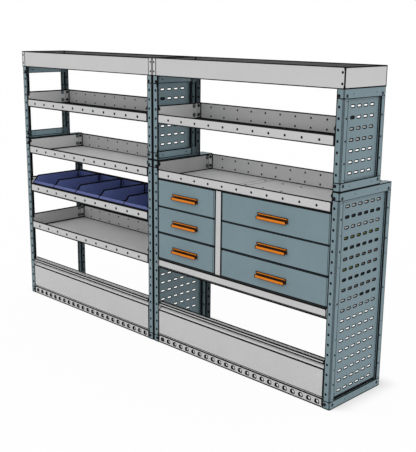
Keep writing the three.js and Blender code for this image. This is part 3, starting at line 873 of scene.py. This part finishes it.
def makeChannel(side, level, end):
    node = f"{side}_{level}_{end}_channel"
    low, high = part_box(node)
    depth, height, width = high.y - low.y, high.z - low.z, upright["width"]
    sheet, bend, leg, lip = (upright[key] for key in ("sheet", "bend", "outerLeg", "legLip"))
    bolt = (channel["boltRadius"], channel["boltHeight"])
    rise, small = channel["boltRise"][(level, end)], channel["smallHole"]
    sidePlaces = (channel["sideBoltFront"], depth - channel["sideBoltRear"])
    smallPlaces, smallRise = channel["smallHoles"][level], channel["smallHoleRise"]
    holes = [hole(1, depth - v, rise, bolt[0] * 2 + channel["boltPlay"]) for v in sidePlaces]
    holes += [hole(1, depth - v, smallRise, small) for v in smallPlaces]
    if level == "lower" and end == "bottom":
        for segment, length in enumerate((width, depth, width)):
            holes.append(seam(segment, 0.0, length, *channel["baseLine"]))
    path = [(width, depth), (0.0, depth), (0.0, 0.0), (width, 0.0)]
    isCapped = level == "upper" and end == "top"
    inset = sheet + upright["gap"]
    web = roundLoop((width + inset) / 2, depth / 2, width - inset, depth - inset * 2, bend,
                    steps=3)
    stub = [(lip[side], leg - inset), (inset, leg - inset), (inset, 0.0), (width, 0.0)]
    footZ, upward = (low.z, 1) if end == "bottom" else (high.z, -1)
    piece = newPart()
    for outer, way in halvesOf(side, low, high):
        place = placer((outer, low.y, footZ), "xyz", (way, 1, upward))
        # the back faces take a lighter copy of the grey, painted light; the right frame's outer
        # corner is softly dark, painted shade; the post ends inside take the inside colour,
        # painted shade
        addSheet(piece, place, path, (0.0, height), sheet, bend, holes, steps=6,
                 band=lineBand(node, channel["lineShare"]), ends=(not isCapped, True),
                 folds={1: "dark", 2: "soft" if side == "right" else "dark"},
                 shades=(0.0, channel["backShade"]), looks=(0, 2))
        addPlate(piece, place, web, 0.0, sheet)
        # the ends of the posts inside the channel
        for v, inward in ((inset, 1), (depth - inset, -1)):
            def inside(a, b, w, place=place, v=v, inward=inward):
                return place(a, v + inward * b, w)

            addSheet(piece, inside, stub, (inset, height), sheet,
                     {1: upright["lipBend"], 2: bend}, ends=(False, False),
                     folds={1: "dark", 2: "none"}, band=lineBand(node), tones={2: (0.0, 1.0)})
        for v in sidePlaces:
            addBolt(piece, place(channel["boltSunk"] + bolt[1], v, rise), (-way, 0, 0), *bolt)
        for v in smallPlaces:
            spot = place(0.0, v, smallRise)
            addInsert(piece, spot, (way, 0, 0), small / 2, *channel["insert"])
        addBolt(piece, place(channel["frontBoltInset"], 0.0, rise), (0, -1, 0), *bolt)
    if side == "middle":
        near = channel["bridgeInset"]
        addBridge(piece, low, high, low.y + near, high.y - near, low.z, high.z)
    looks = ["rackGrey", "blackSteel", "rackPale"]
    finishPiece(camel(node), piece, looks, "rack_grey", node)


# Slotted infill panels. A slot has its length, height, corner radius and dark ring.
panelSize = {
    "sheet": 0.002,
    "bend": 0.002,
    "flange": 0.010,
    "slot": (0.0268, 0.0078, 0.0034, 0.0070),
    "slotMargin": 0.035,
    "lap": 0.006,
    "stripHeight": 0.022,
    "stripGap": 0.0012,
    "stripSheet": 0.0015,
    "stripInset": 0.004,
    "strips": {  # a row's look, or the looks of its front and rear half
        "right_upper_panel": {2: 1, 3: 1},
        "right_lower_panel": {
            0: 1, 1: 2, 2: 1, 3: 3, 4: 2, 5: 4, 6: (3, 4), 7: 2, 8: 4, 9: (1, 2), 10: 1,
        },
    },
    "plugReach": 0.02,
    "sealSheet": 0.0012,
    "sealDrop": 0.004,
}


def makePanel(side, level):
    node = f"{side}_{level}_panel"
    values = panelSize
    low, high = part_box(node)
    bottom, _, rows = postRows(side, level)
    face, depth, lap, flange = high.x, high.y - low.y, values["lap"], values["flange"]
    columns = centredRow(depth, values["slotMargin"], upright["pitch"])
    holes = [hole(1, depth + lap - v, z, *values["slot"]) for z in rows for v in columns]
    path = [(flange, depth + lap), (0.0, depth + lap), (0.0, -lap), (flange, -lap)]
    piece = newPart()
    place = placer((face, low.y, 0.0), "xyz", (-1, 1, 1))
    addSheet(piece, place, path, (low.z, high.z), values["sheet"], values["bend"], holes,
             band=lineBand(node))
    # what shows through the slots: strips close behind, counted in rows from the top; the light
    # grey ones are painted light and the black ones painted shade, standing in for how lit the
    # space behind each slot is
    back, half = values["sheet"] + values["stripGap"], values["stripHeight"] / 2
    strip = (face - (back + values["stripSheet"]), face - back)
    middle, inset = (low.y + high.y) / 2, values["stripInset"]
    for row, look in values["strips"].get(node, {}).items():
        z = rows[-1 - row]
        front, rear = look if isinstance(look, tuple) else (look, look)
        addBlock(piece, *strip, low.y + inset, middle, z - half, z + half, front)
        addBlock(piece, *strip, middle, high.y - inset, z - half, z + half, rear)
    if level == "upper":
        # a black block behind one slot of the upper panels, painted shade
        z, y, reach = rows[-2], low.y + columns[0], values["plugReach"]
        addBlock(piece, *strip, y - reach, y + reach, z - half, z + half, 2)
    if node == "right_lower_panel":
        # a black strip along the ledge of the bottom channel, painted shade in the trough
        addBlock(piece, face, face + values["sealSheet"], low.y, high.y,
                 bottom - values["sealDrop"], bottom + channel["ledge"], 2)
    # the middle upper panel takes the lighter copy of the grey: painted light
    plain = "rackPale" if node == "middle_upper_panel" else "rackGrey"
    looks = [plain, "lightGrey", "blackSteel", "oliveZinc", "brownZinc"]
    finishPiece(camel(node), piece, looks, "rack_grey", node)


# Shelves. Inserts have a seat and a depth, dots and discs a radius and a height.
shelfSize = {
    "sheet": 0.0015,
    "bend": 0.0015,
    "lip": 0.047,
    "hem": {"left": 0.0065, "right": 0.0048},
    "deepHem": 0.0085,
    "hemDepth": 0.004,
    "holePitch": 0.100,
    "holesEachWay": 5,
    "hole": 0.0088,
    "holeRing": {"left": 0.0056, "right": 0.0035},
    "wallRing": 0.0022,
    "lipInsert": (0.0008, 0.005),
    "wallSeat": 0.0003,
    "rearSeal": 0.034,
    "sealInset": 0.004,
    "lipHoleRise": 0.0175,
    "wallHoleRises": (0.018, 0.067),
    "boltRadius": 0.0115,
    "boltHeight": 0.004,
    "boltRises": (0.023, 0.073),
    "boltFromRear": {"upper": 0.052, "lower": 0.041},
    "frontBoltInset": 0.0065,
    "frontBoltRadius": 0.0105,
    "cleatInset": 0.005,
    "cleatWidth": 0.024,
    "cleatFoot": 0.003,
    "cleatTopGap": 0.004,
    "cleatSheet": 0.0012,
    "cleatHole": 0.016,
    "cleatRing": 0.003,
    "cleatDisc": (0.010, 0.0004),
    "discGap": 0.0002,
    "cleatLine": 0.009,
    "deckSeams": (0.478, 0.530),
    "deckSeamHalf": 0.0022,
    "deckSeamInset": 0.02,
    "deckDots": (0.511, 0.632, 0.755),
    "deckDotRows": (-0.0065, 0.1525),
    "deckDot": (0.0065, 0.0016),
}


def addEndWall(piece, side, low, high, sheet, cut=0.0, look=0, shade=0.0, band=edgeBand):
    # an end wall of a tray, its outer face on the tray's end
    face, way = (low.x, 1) if side < 0 else (high.x, -1)
    place = placer((face, 0.0, low.z), "xzy", (way, 1, 1))
    addSheet(piece, place, [(0.0, high.z - low.z), (0.0, 0.0)], (low.y + cut, high.y), sheet,
             looks=(0, look), shades=(0.0, shade), band=band)
    return place


def makeShelf(node):
    values, side = shelfSize, node.split("_")[0]
    low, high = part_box(node)
    depth, wall, middle = high.y - low.y, high.z - low.z, (low.x + high.x) / 2
    sheet, lip, size, rises = (values[key] for key in ("sheet", "lip", "hole", "boltRises"))
    place = placer((0.0, low.y, low.z), "yzx")
    reach = values["holesEachWay"]
    columns = [middle + index * values["holePitch"] for index in range(-reach, reach + 1)]
    ring, lipRise, wallRises = (
        values["holeRing"][side], values["lipHoleRise"], values["wallHoleRises"])
    holes = [hole(0, lip - lipRise, x, size, ring=ring) for x in columns]
    holes += [
        hole(2, rise, x, size, ring=values["wallRing"]) for rise in wallRises for x in columns
    ]
    piece = newPart()
    for x in columns:
        addInsert(piece, place(0.0, lipRise, x), (0, 1, 0), size / 2, *values["lipInsert"])
        for rise in wallRises:
            spot = place(depth - sheet, rise, x)
            addInsert(piece, spot, (0, 1, 0), size / 2, values["wallSeat"], sheet)
    if node == "right_shelf_1":
        inset, half = values["deckSeamInset"], values["deckSeamHalf"]
        holes += [seam(1, inset, depth - inset, x - half, x + half) for x in values["deckSeams"]]
        for x in values["deckDots"]:
            for y in values["deckDotRows"]:
                addBolt(piece, (x, y, low.z + sheet), (0, 0, 1), *values["deckDot"])
    level = "upper" if node in ("left_shelf_4", "right_shelf_2") else "lower"
    # a dark band across the floor along the rear wall of the upper shelves, painted shade under
    # the tray
    if level == "upper":
        inset = values["sealInset"]
        rear = (depth - values["rearSeal"], depth - inset)
        holes.append(seam(1, *rear, low.x + inset, high.x - inset))
    path = [(0.0, lip), (0.0, 0.0), (depth, 0.0), (depth, wall)]
    band = lineBand(node)
    # the inner faces take the inside colour, and the right shelves' rear walls a lighter one:
    # painted light and shade
    addSheet(piece, place, path, (low.x + sheet, high.x - sheet), sheet, values["bend"],
             holes, folds={2: "dark"}, shades=(0.0, 1.0), band=band,
             paints={2: 4} if side == "right" else None)
    isDeep = node in ("left_shelf_2", "right_shelf_1")
    hem = values["deepHem"] if isDeep else values["hem"][side]
    addBlock(piece, low.x, high.x, low.y, low.y + values["hemDepth"], low.z - hem, low.z,
             0, 0.0, 1.0)
    y1 = high.y - values["cleatInset"]
    y0 = y1 - values["cleatWidth"]
    cleatY = (y0 + y1) / 2
    outline = rectangle(y0, y1, values["cleatFoot"], wall - values["cleatTopGap"])
    cleatHoles = [
        hole(0, cleatY, rise, values["cleatHole"], ring=values["cleatRing"]) for rise in rises
    ]
    discRadius, discHeight = values["cleatDisc"]
    for end in (-1, 1):
        # the left end walls of the lowest shelves take the darker grey: painted shade
        hasPaintedShade = end < 0 and node in ("left_shelf_1", "right_shelf_1")
        inside = addEndWall(piece, end, low, high, sheet, look=3 if hasPaintedShade else 0, shade=1.0,
                            band=band)

        def cleat(u, v, w, inside=inside):
            return inside(sheet + w, v, u)

        axis = (-end, 0, 0)
        for rise in rises:
            spot = inside(sheet, rise, high.y - values["boltFromRear"][level])
            addBolt(piece, spot, axis, values["boltRadius"], values["boltHeight"], 2)
        spot = inside(sheet, rises[-1], low.y + values["frontBoltInset"])
        addBolt(piece, spot, axis, values["frontBoltRadius"], values["boltHeight"])
        addPlate(piece, cleat, outline, 0.0, values["cleatSheet"], cleatHoles, 0, 1.0,
                 line=values["cleatLine"])
        for rise in rises:
            spot = inside(sheet + values["discGap"], rise, cleatY)
            disc = rectangle(0, discRadius, 0, discHeight)
            addTurned(piece, spot, axis, disc, sides=10, look=1)
    looks = ["lightGrey", "blackSteel", "zincSteel", "lightDim", "lightRear"]
    finishPiece(camel(node), piece, looks, "light_grey", node)


# Top trays
traySize = {
    "sheet": 0.0015,
    "bend": 0.0015,
    "lineShare": 0.8,
    "hole": 0.0088,
    "ring": 0.003,
    "insertDepth": 0.005,
    "holeInset": 0.0135,
    "holeRises": (0.0237, 0.0727),
    "stripWidth": 0.031,
    "stripSheet": 0.0008,
    "stripGap": 0.0005,
    "stripRing": 0.002,
    "stripLine": 0.007,
}


def makeTray(side):
    node = f"{side}_top_tray"
    values = traySize
    low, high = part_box(node)
    depth, wall, sheet = high.y - low.y, high.z - low.z, values["sheet"]
    size, rises, inset = values["hole"], values["holeRises"], values["holeInset"]
    place = placer((0.0, low.y, low.z), "yzx")
    columns = [low.x + inset, high.x - inset]
    holes = [hole(0, wall - z, x, size, ring=values["ring"]) for x in columns for z in rises]
    path = [(0.0, wall), (0.0, 0.0), (depth, 0.0), (depth, wall)]
    piece = newPart()
    # the inner faces of the tray and its end walls take the dark grey: painted shade
    addSheet(piece, place, path, (low.x + sheet, high.x - sheet), sheet, values["bend"],
             holes, folds="dark", looks=(0, 2), band=lineBand(node, values["lineShare"]))
    for x in columns:
        for z in rises:
            addInsert(piece, place(0.0, z, x), (0, 1, 0), size / 2, 0.0, values["insertDepth"])
    for end in (-1, 1):
        addEndWall(piece, end, low, high, sheet, look=2)
    # strips of the end caps, folded round over the front
    width, thick, gap = values["stripWidth"], values["stripSheet"], values["stripGap"]
    over = placer((0.0, low.y - thick, low.z), "yzx")
    strips = [(low.x, columns[0]), (high.x - width, columns[1])]
    for start, x in strips if side == "left" else strips[:1]:
        holes = [hole(0, wall - gap - z, x, size, ring=values["stripRing"]) for z in rises]
        addSheet(piece, over, [(0.0, wall - gap), (0.0, gap)], (start, start + width), thick,
                 holes=holes, band=values["stripLine"])
    finishPiece(camel(node), piece, ["lightGrey", "blackSteel", "trayLining"], "light_grey", node)


# Open-fronted bins
binSize = {
    "wall": 0.0025,
    "corner": 0.010,
    "frontHeight": 0.046,
    "frontLean": 0.005,
    "mouthHeight": 0.061,
    "shoulder": 0.047,
    "bend": 0.003,
    "rearGap": 0.001,
    "lineShare": 1.1,
    "mouthLine": 0.002,
    "outerShade": 0.6,
}


def makeBin(number):
    node = f"bin_{number}"
    values = binSize
    low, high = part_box(node)
    width, depth, height = (high - low)
    wall, lean, front = values["wall"], values["frontLean"], values["frontHeight"]
    shoulder, mouthHeight, run = values["shoulder"], values["mouthHeight"], values["corner"]
    mouth = lean + (shoulder - lean) * (mouthHeight - front) / (height - front)
    piece = newPart()
    # sides and rear in one folded wall, the sides cut to the slope of the mouth
    path = [(width, 0.0), (width, depth), (0.0, depth), (0.0, 0.0)]
    rightSide = [
        (0.0, 0.0), (depth - run, 0.0), (depth - run, height), (shoulder, height), (lean, front),
    ]
    leftSide = [
        (run, 0.0), (depth, 0.0), (depth - lean, front), (depth - shoulder, height),
        (run, height),
    ]
    line = lineBand(node, values["lineShare"])
    # the walls mix in the lighter inside blue, painted light; the bottom's inner face takes it
    # too
    addSheet(piece, placer(low, "xyz"), path, (0.0, height), wall, run - wall, band=line,
             shades=(values["outerShade"], 1.0), outlines={0: rightSide, 2: leftSide})
    across, inner = placer(low, "yzx"), (wall, width - wall)
    bottom = [(mouth, mouthHeight), (lean, front), (0.0, 0.0), (depth - values["rearGap"], 0.0)]
    addSheet(piece, across, bottom[:2], inner, wall, band=values["mouthLine"])
    addSheet(piece, across, bottom[1:], inner, wall, values["bend"], band=line,
             shades=(0.0, 1.0), folds="none")
    finishPiece(camel(node), piece, ["binBlue"], "bin_blue", node)


# Drawer cabinet
cabinetSize = {
    "sheet": 0.0015,
    "bend": 0.0015,
    "lip": 0.043,
    "recess": 0.018,
    "ledgeReach": 0.010,
    "runnerRise": 0.040,
    "runnerHeight": 0.020,
    "gap": 0.0003,
    "rearGap": 0.022,
    "dividerWidth": 0.047,
    "dividerFold": 0.005,
    "hem": 0.008,
    "hemDepth": 0.004,
    "seal": (-0.002, 0.0065),
    "sealSpan": (0.0002, 0.008),
}


def addLedges(piece, *walls):
    # two ledges for each row's runners, on walls of the cabinet or the divider
    low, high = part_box("drawer_cabinet")
    values = cabinetSize
    sheet, gap = values["sheet"], values["gap"]
    y0, y1 = low.y + values["recess"] + sheet, high.y - values["rearGap"]
    for row in (1, 2, 3):
        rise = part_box(f"wide_drawer_{row}")[0].z + values["runnerRise"]
        for wallX, way in walls:
            x0, x1 = sorted((wallX, wallX + way * values["ledgeReach"]))
            for z in (rise - gap - sheet, rise + values["runnerHeight"] + gap):
                addBlock(piece, x0, x1, y0, y1, z, z + sheet, 0, 1.0)


def makeCabinet():
    node = "drawer_cabinet"
    values = cabinetSize
    low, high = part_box(node)
    depth, sheet, lip = high.y - low.y, values["sheet"], values["lip"]
    inner, lipTop = (low.x + sheet, high.x - sheet), low.z + lip
    piece = newPart()
    path = [(0.0, lip), (0.0, 0.0), (depth, 0.0), (depth, lip)]
    addSheet(piece, placer((0.0, low.y, low.z), "yzx"), path, inner, sheet, values["bend"],
             folds="dark", shades=(0.0, 1.0))
    addBlock(piece, low.x, high.x, low.y, low.y + values["hemDepth"], low.z - values["hem"],
             low.z, 0, 0.0, 1.0)
    # a black seal on the lip, just below the drawers; its black is also painted shade in the gap
    near, far = values["sealSpan"]
    addBlock(piece, *inner, low.y + sheet + near, low.y + far,
             *(lipTop + z for z in values["seal"]), 1)
    # the end walls' inner faces and the ledges take the inside colour, painted light
    for side, outer in ((-1, low.x), (1, high.x)):
        addEndWall(piece, side, low, high, sheet, cut=values["recess"], shade=1.0)
        addLedges(piece, (outer - side * sheet, -side))
        x0, x1 = sorted((outer, outer - side * sheet))
        addBlock(piece, x0, x1, low.y, low.y + values["recess"], low.z, lipTop)
    finishPiece(camel(node), piece, ["lightGrey", "blackSteel"], "light_grey", node)


def makeDivider():
    node = "drawer_divider"
    values = cabinetSize
    low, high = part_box(node)
    left = low.x + values["ledgeReach"]
    right = left + values["dividerWidth"]
    piece = newPart()
    path = [(left, high.y), (left, low.y), (right, low.y), (right, high.y)]
    addSheet(piece, placer((0.0, 0.0, 0.0), "xyz"), path, (low.z, high.z), values["sheet"],
             values["bend"], folds="dark", shades=(0.0, 1.0), ends=(False, True),
             foldLine=values["dividerFold"])
    addLedges(piece, (left, -1), (right, 1))
    finishPiece(camel(node), piece, ["lightGrey"], "light_grey", node)


# Drawers and handles
drawerSize = {
    "sheet": 0.0015,
    "frontBend": 0.004,
    "frontReturn": 0.015,
    "frontHeight": 0.1445,
    "frontWidth": {"narrow": 0.431, "wide": 0.6805},
    "frontFold": 0.002,
    "line": 0.0065,
    "topRowLine": 0.003,
    "returnShade": 0.8,
    "returnDepth": 0.013,
    "returnGap": 0.0002,
    "boxGap": 0.0112,
    "barGap": 0.0008,
    "boxRise": 0.008,
    "boxHeight": 0.112,
    "runnerStart": 0.018,
    "boxBend": 0.003,
    "boxShade": 0.6,
}
handleSize = {
    "plate": 0.0025,
    "plateGap": 0.0002,
    "plateLines": (0.001, 0.002),
    "strip": 0.010,
    "stripReach": 0.005,
    "lip": 0.0172,
    "lipReach": 0.0165,
    "lipSheet": 0.003,
    "backCut": 0.020,
    "lipCut": 0.0015,
    "round": 0.0008,
    "line": 0.0027,
    "endLine": 0.008,
}


def makeDrawer(column, row):
    node = f"{column}_drawer_{row}"
    values = drawerSize
    low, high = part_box(node)
    sheet, reach, bend = values["sheet"], values["frontReturn"], values["frontBend"]
    width, shade = values["frontWidth"][column], values["returnShade"]
    left = low.x if column == "narrow" else high.x - width
    bottom, top = low.z, low.z + values["frontHeight"]
    piece = newPart()
    path = [(0.0, reach), (0.0, 0.0), (width, 0.0), (width, reach)]
    # the side returns take the inside colour on both faces and the back faces mostly, painted
    # shade
    addSheet(piece, placer((left, low.y, 0.0), "xyz"), path, (bottom, top), sheet, bend, steps=5,
             band=values["topRowLine" if row == 3 else "line"], shades=(0.0, shade),
             foldLine=values["frontFold"], tones={0: (1.0, 1.0), 2: (1.0, 1.0)})
    inner, gap = bend + sheet, values["returnGap"]
    for z0 in (bottom + gap, top - sheet - gap):
        addBlock(piece, left + inner, left + width - inner, low.y + sheet,
                 low.y + values["returnDepth"], z0, z0 + sheet, 0, shade, 1.0)

    # the box between its runner bars, in the column from the cabinet's side to the divider
    cabinet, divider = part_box("drawer_cabinet"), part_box("drawer_divider")
    gap, ledge = values["barGap"], cabinetSize["ledgeReach"]
    if column == "narrow":
        barLeft = cabinet[0].x + cabinetSize["sheet"] + gap
        barRight = divider[0].x + ledge - gap
    else:
        barLeft = divider[1].x - ledge + gap
        barRight = cabinet[1].x - cabinetSize["sheet"] - gap
    boxLeft, boxRight = barLeft + values["boxGap"], barRight - values["boxGap"]
    rise, boxTop, span = low.z + values["boxRise"], values["boxHeight"], boxRight - boxLeft
    sides = [(0.0, boxTop), (0.0, 0.0), (span, 0.0), (span, boxTop)]
    # the box takes the inside colour, painted shade
    addSheet(piece, placer((boxLeft, 0.0, rise), "xzy"), sides, (low.y + sheet, high.y - sheet),
             sheet, values["boxBend"], shades=(values["boxShade"], 1.0), ends=(False, True))
    for y0 in (low.y + sheet, high.y - sheet):
        addBlock(piece, boxLeft, boxRight, y0, y0 + sheet, rise, rise + boxTop, 0, 1.0)
    z0 = low.z + cabinetSize["runnerRise"]
    for x0, x1 in ((barLeft, boxLeft), (boxRight, barRight)):
        addBlock(piece, x0, x1, low.y + values["runnerStart"], high.y,
                 z0, z0 + cabinetSize["runnerHeight"], 1)
    finishPiece(camel(node), piece, ["rackGrey", "zincSteel"], "rack_grey", node)


def roundCorners(points, radius, steps=2):
    rounded = []
    for index, point in enumerate(points):
        corner = Vector(point)
        before = (Vector(points[index - 1]) - corner).normalized() * radius
        after = (Vector(points[(index + 1) % len(points)]) - corner).normalized() * radius
        for step in range(steps + 1):
            share = step / steps
            spot = corner + before * (1 - share) ** 2 + after * share ** 2
            rounded.append((spot.x, spot.y))
    return rounded


def makeHandle(column, row):
    node = f"{column}_handle_{row}"
    values = handleSize
    low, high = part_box(node)
    middle, half, height = (low.x + high.x) / 2, (high.x - low.x) / 2, high.z - low.z
    sheet, reach, lip, gap = (values[key] for key in ("lipSheet", "lipReach", "lip", "plateGap"))
    backCut, lipCut = values["backCut"], values["lipCut"]
    stripLow, lipBack = height - values["strip"], reach - sheet

    def bandOf(depth, foot, head):
        return [(0.0, foot), (0.0, head), (-depth, head), (-depth, foot)]

    strip = bandOf(values["stripReach"], stripLow, height)
    plate = bandOf(values["plate"], sheet + gap, stripLow - gap)
    ledge = [(0.0, 0.0), (0.0, sheet), (-lipBack, sheet), (-lipBack, lip), (-reach, lip),
             (-reach, 0.0)]

    def flared(u, v, w):
        cut = backCut + (backCut - lipCut) * u / reach
        return Vector((middle + w * (half - cut), high.y + u, low.z + v))

    straight = placer((middle, high.y, low.z), "yzx", (1, 1, half))
    piece = newPart()
    lines = (values["line"], values["endLine"] / half)
    addBar(piece, straight, roundCorners(strip, values["round"]), *lines)
    addBar(piece, flared, roundCorners(ledge, values["round"]), *lines)
    # the plate between strip and ledge is dark brown: painted shade in the groove
    addBar(piece, straight, plate, *values["plateLines"], look=1)
    finishPiece(camel(node), piece, ["handleOrange", "handleShade"], "handle_orange", node)


# Wheel-arch boxes
archSize = {
    "sheet": 0.002,
    "bend": 0.0015,
    "railDepth": 0.025,
    "lashingHeight": 0.047,
    "lashingHole": 0.0190,
    "lashingRing": 0.0090,
    "lashingFolds": {1: 0.003, 2: 0.009},
    "collar": 0.008,
    "collarWall": 0.0015,
    "plugShare": 0.98,
    "plugInset": 0.0004,
    "railTop": 0.240,
    "railLip": 0.015,
    "railDrop": 0.022,
    "railFolds": {1: 0.003, 2: 0.004},
    "railRise": {"left": 0.010, "right": 0.0058},
    "railEdge": 0.0058,
    "footLine": (0.0008, 0.0085),
    "footLineInset": 0.001,
    "bracketDepth": 0.036,
    "bracketRound": 0.003,
    "rowMargin": 0.030,
    "pitch": 0.050,
}
flapSize = {
    "sheet": 0.0015,
    "bend": 0.003,
    "line": 0.006,
    "endGap": 0.0023,
    "top": 0.197,
    "lipRise": 0.015,
    "hingeRadius": 0.0035,
    "hingeHeight": 0.054,
    "knuckles": 11,
    "knuckleGap": 0.0012,
    "knuckleEnd": 0.0006,
    "knuckleTaper": 0.8,
    "pinRadius": 0.002,
}


def makeArchFrame(side):
    node = f"{side}_wheel_arch_frame"
    values = archSize
    low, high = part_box(node)
    sheet, reach, tall = values["sheet"], values["railDepth"], values["lashingHeight"]
    place, inner = placer((0.0, low.y, low.z), "yzx"), (low.x + sheet, high.x - sheet)
    piece = newPart()
    row = centredRow(high.x - low.x, values["rowMargin"], values["pitch"])
    columns = [low.x + x for x in row]
    holes = [
        hole(1, tall / 2, x, values["lashingHole"], ring=values["lashingRing"], steps=5)
        for x in columns
    ]
    foot, inset = [tall - z for z in values["footLine"]], values["footLineInset"]
    holes.append(seam(1, foot[1], foot[0], inner[0] + inset, inner[1] - inset))
    lashing = [(reach, tall), (0.0, tall), (0.0, 0.0), (reach, 0.0)]
    addSheet(piece, place, lashing, inner, sheet, values["bend"], holes, folds="dark",
             shades=(0.0, 1.0), foldLine=values["lashingFolds"])
    radius, tube = values["lashingHole"] / 2, values["collar"]
    collar = rectangle(radius, radius + values["collarWall"], 0.0, tube) + [(radius, 0.0)]
    # a collar behind each hole, dark all over, painted shade inside the hole
    for x in columns:
        addTurned(piece, place(sheet, tall / 2, x), (0, 1, 0), collar, sides=20, marks=[1.0] * 4)
    # the first hole is closed by a black plug, painted shade
    plug = rectangle(0.0, radius * values["plugShare"], 0.0, tube)
    spot = place(values["plugInset"], tall / 2, columns[0])
    addTurned(piece, spot, (0, 1, 0), plug, sides=20, look=1)
    top, rise, edge = values["railTop"], values["railRise"][side], values["railEdge"]
    rail = [(reach, top - values["railDrop"]), (reach, top), (0.0, top),
            (0.0, top - values["railLip"])]
    # the rail's back faces are black, painted shade under the rail
    addSheet(piece, place, rail, inner, sheet, values["bend"], folds="dark", looks=(0, 1),
             shades=(0.0, 1.0), band=lineBand(node), foldLine=values["railFolds"])
    # the rail's rear rise, with a black upper edge
    ledge, z = (*inner, low.y + reach - sheet, low.y + reach), low.z + top
    if rise > edge:
        addBlock(piece, *ledge, z, z + rise - edge, 0, 1.0)
    addBlock(piece, *ledge, z + rise - edge, z + rise, 1)
    depth = values["bracketDepth"]
    outline = roundLoop(depth / 2, top / 2, depth, top, values["bracketRound"], steps=2)
    for face, way in ((low.x, 1), (high.x, -1)):
        end = placer((face, low.y, low.z), "yzx", (1, 1, way))
        addPlate(piece, end, outline, 0.0, sheet)
    finishPiece(camel(node), piece, ["lightGrey", "blackSteel"], "light_grey", node)


def makeFlap(side):
    node = f"{side}_wheel_arch_flap"
    values = flapSize
    low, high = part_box(node)
    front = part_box(f"{side}_wheel_arch_frame")[0].y
    piece = newPart()
    top, hinge, radius = values["top"], values["hingeHeight"], values["hingeRadius"]
    path = [(archSize["railDepth"], top + values["lipRise"]), (0.0, top), (0.0, hinge)]
    span = (low.x + values["endGap"], high.x - values["endGap"])
    # the bent top takes the lighter grey: painted light where the rail shades it
    addSheet(piece, placer((0.0, front, 0.0), "yzx"), path, span, values["sheet"],
             values["bend"], folds="dark", shades=(0.0, 1.0), band=values["line"], paints={0: 2})
    step, gap = (span[1] - span[0]) / values["knuckles"], values["knuckleGap"]
    length, end, neck = step - gap, values["knuckleEnd"], radius * values["knuckleTaper"]
    profile = [(0, 0), (neck, 0), (radius, end), (radius, length - end), (neck, length),
               (0, length)]
    for index in range(values["knuckles"]):
        start = (span[0] + step * index + gap / 2, front + radius, hinge)
        addTurned(piece, start, (1, 0, 0), profile, sides=12)
    pin = rectangle(0, values["pinRadius"], low.x, high.x)
    addTurned(piece, (0.0, front + radius, hinge), (1, 0, 0), pin, sides=10, look=1)
    looks = ["lightGrey", "zincSteel", "lightPale"]
    finishPiece(camel(node), piece, looks, "light_grey", node)


placeCamera()
lightStudio()
layFloor()
materials = {
    name: finishMaterial(name, {**plainFinish, **values}) for name, values in finishes.items()
}
print("studio and", len(materials), "finishes made")
for side in ("left", "middle", "right"):
    for level in ("lower", "upper"):
        for end in ("front", "rear"):
            makePost(side, level, end)
        for end in ("bottom", "top"):
            makeChannel(side, level, end)
for side in ("middle", "right"):
    for level in ("lower", "upper"):
        makePanel(side, level)
print("frames and panels made")
for node in frame["nodes"]:
    if "_shelf_" in node:
        makeShelf(node)
for side in ("left", "right"):
    makeTray(side)
print("shelves and trays made")
for number in range(1, 6):
    makeBin(number)
print("bins made")
makeCabinet()
makeDivider()
for column in ("narrow", "wide"):
    for row in (1, 2, 3):
        makeDrawer(column, row)
        makeHandle(column, row)
print("drawers made")
for side in ("left", "right"):
    makeArchFrame(side)
    makeFlap(side)
print("wheel-arch boxes made")

bpy.context.scene.view_settings.view_transform = "Standard"
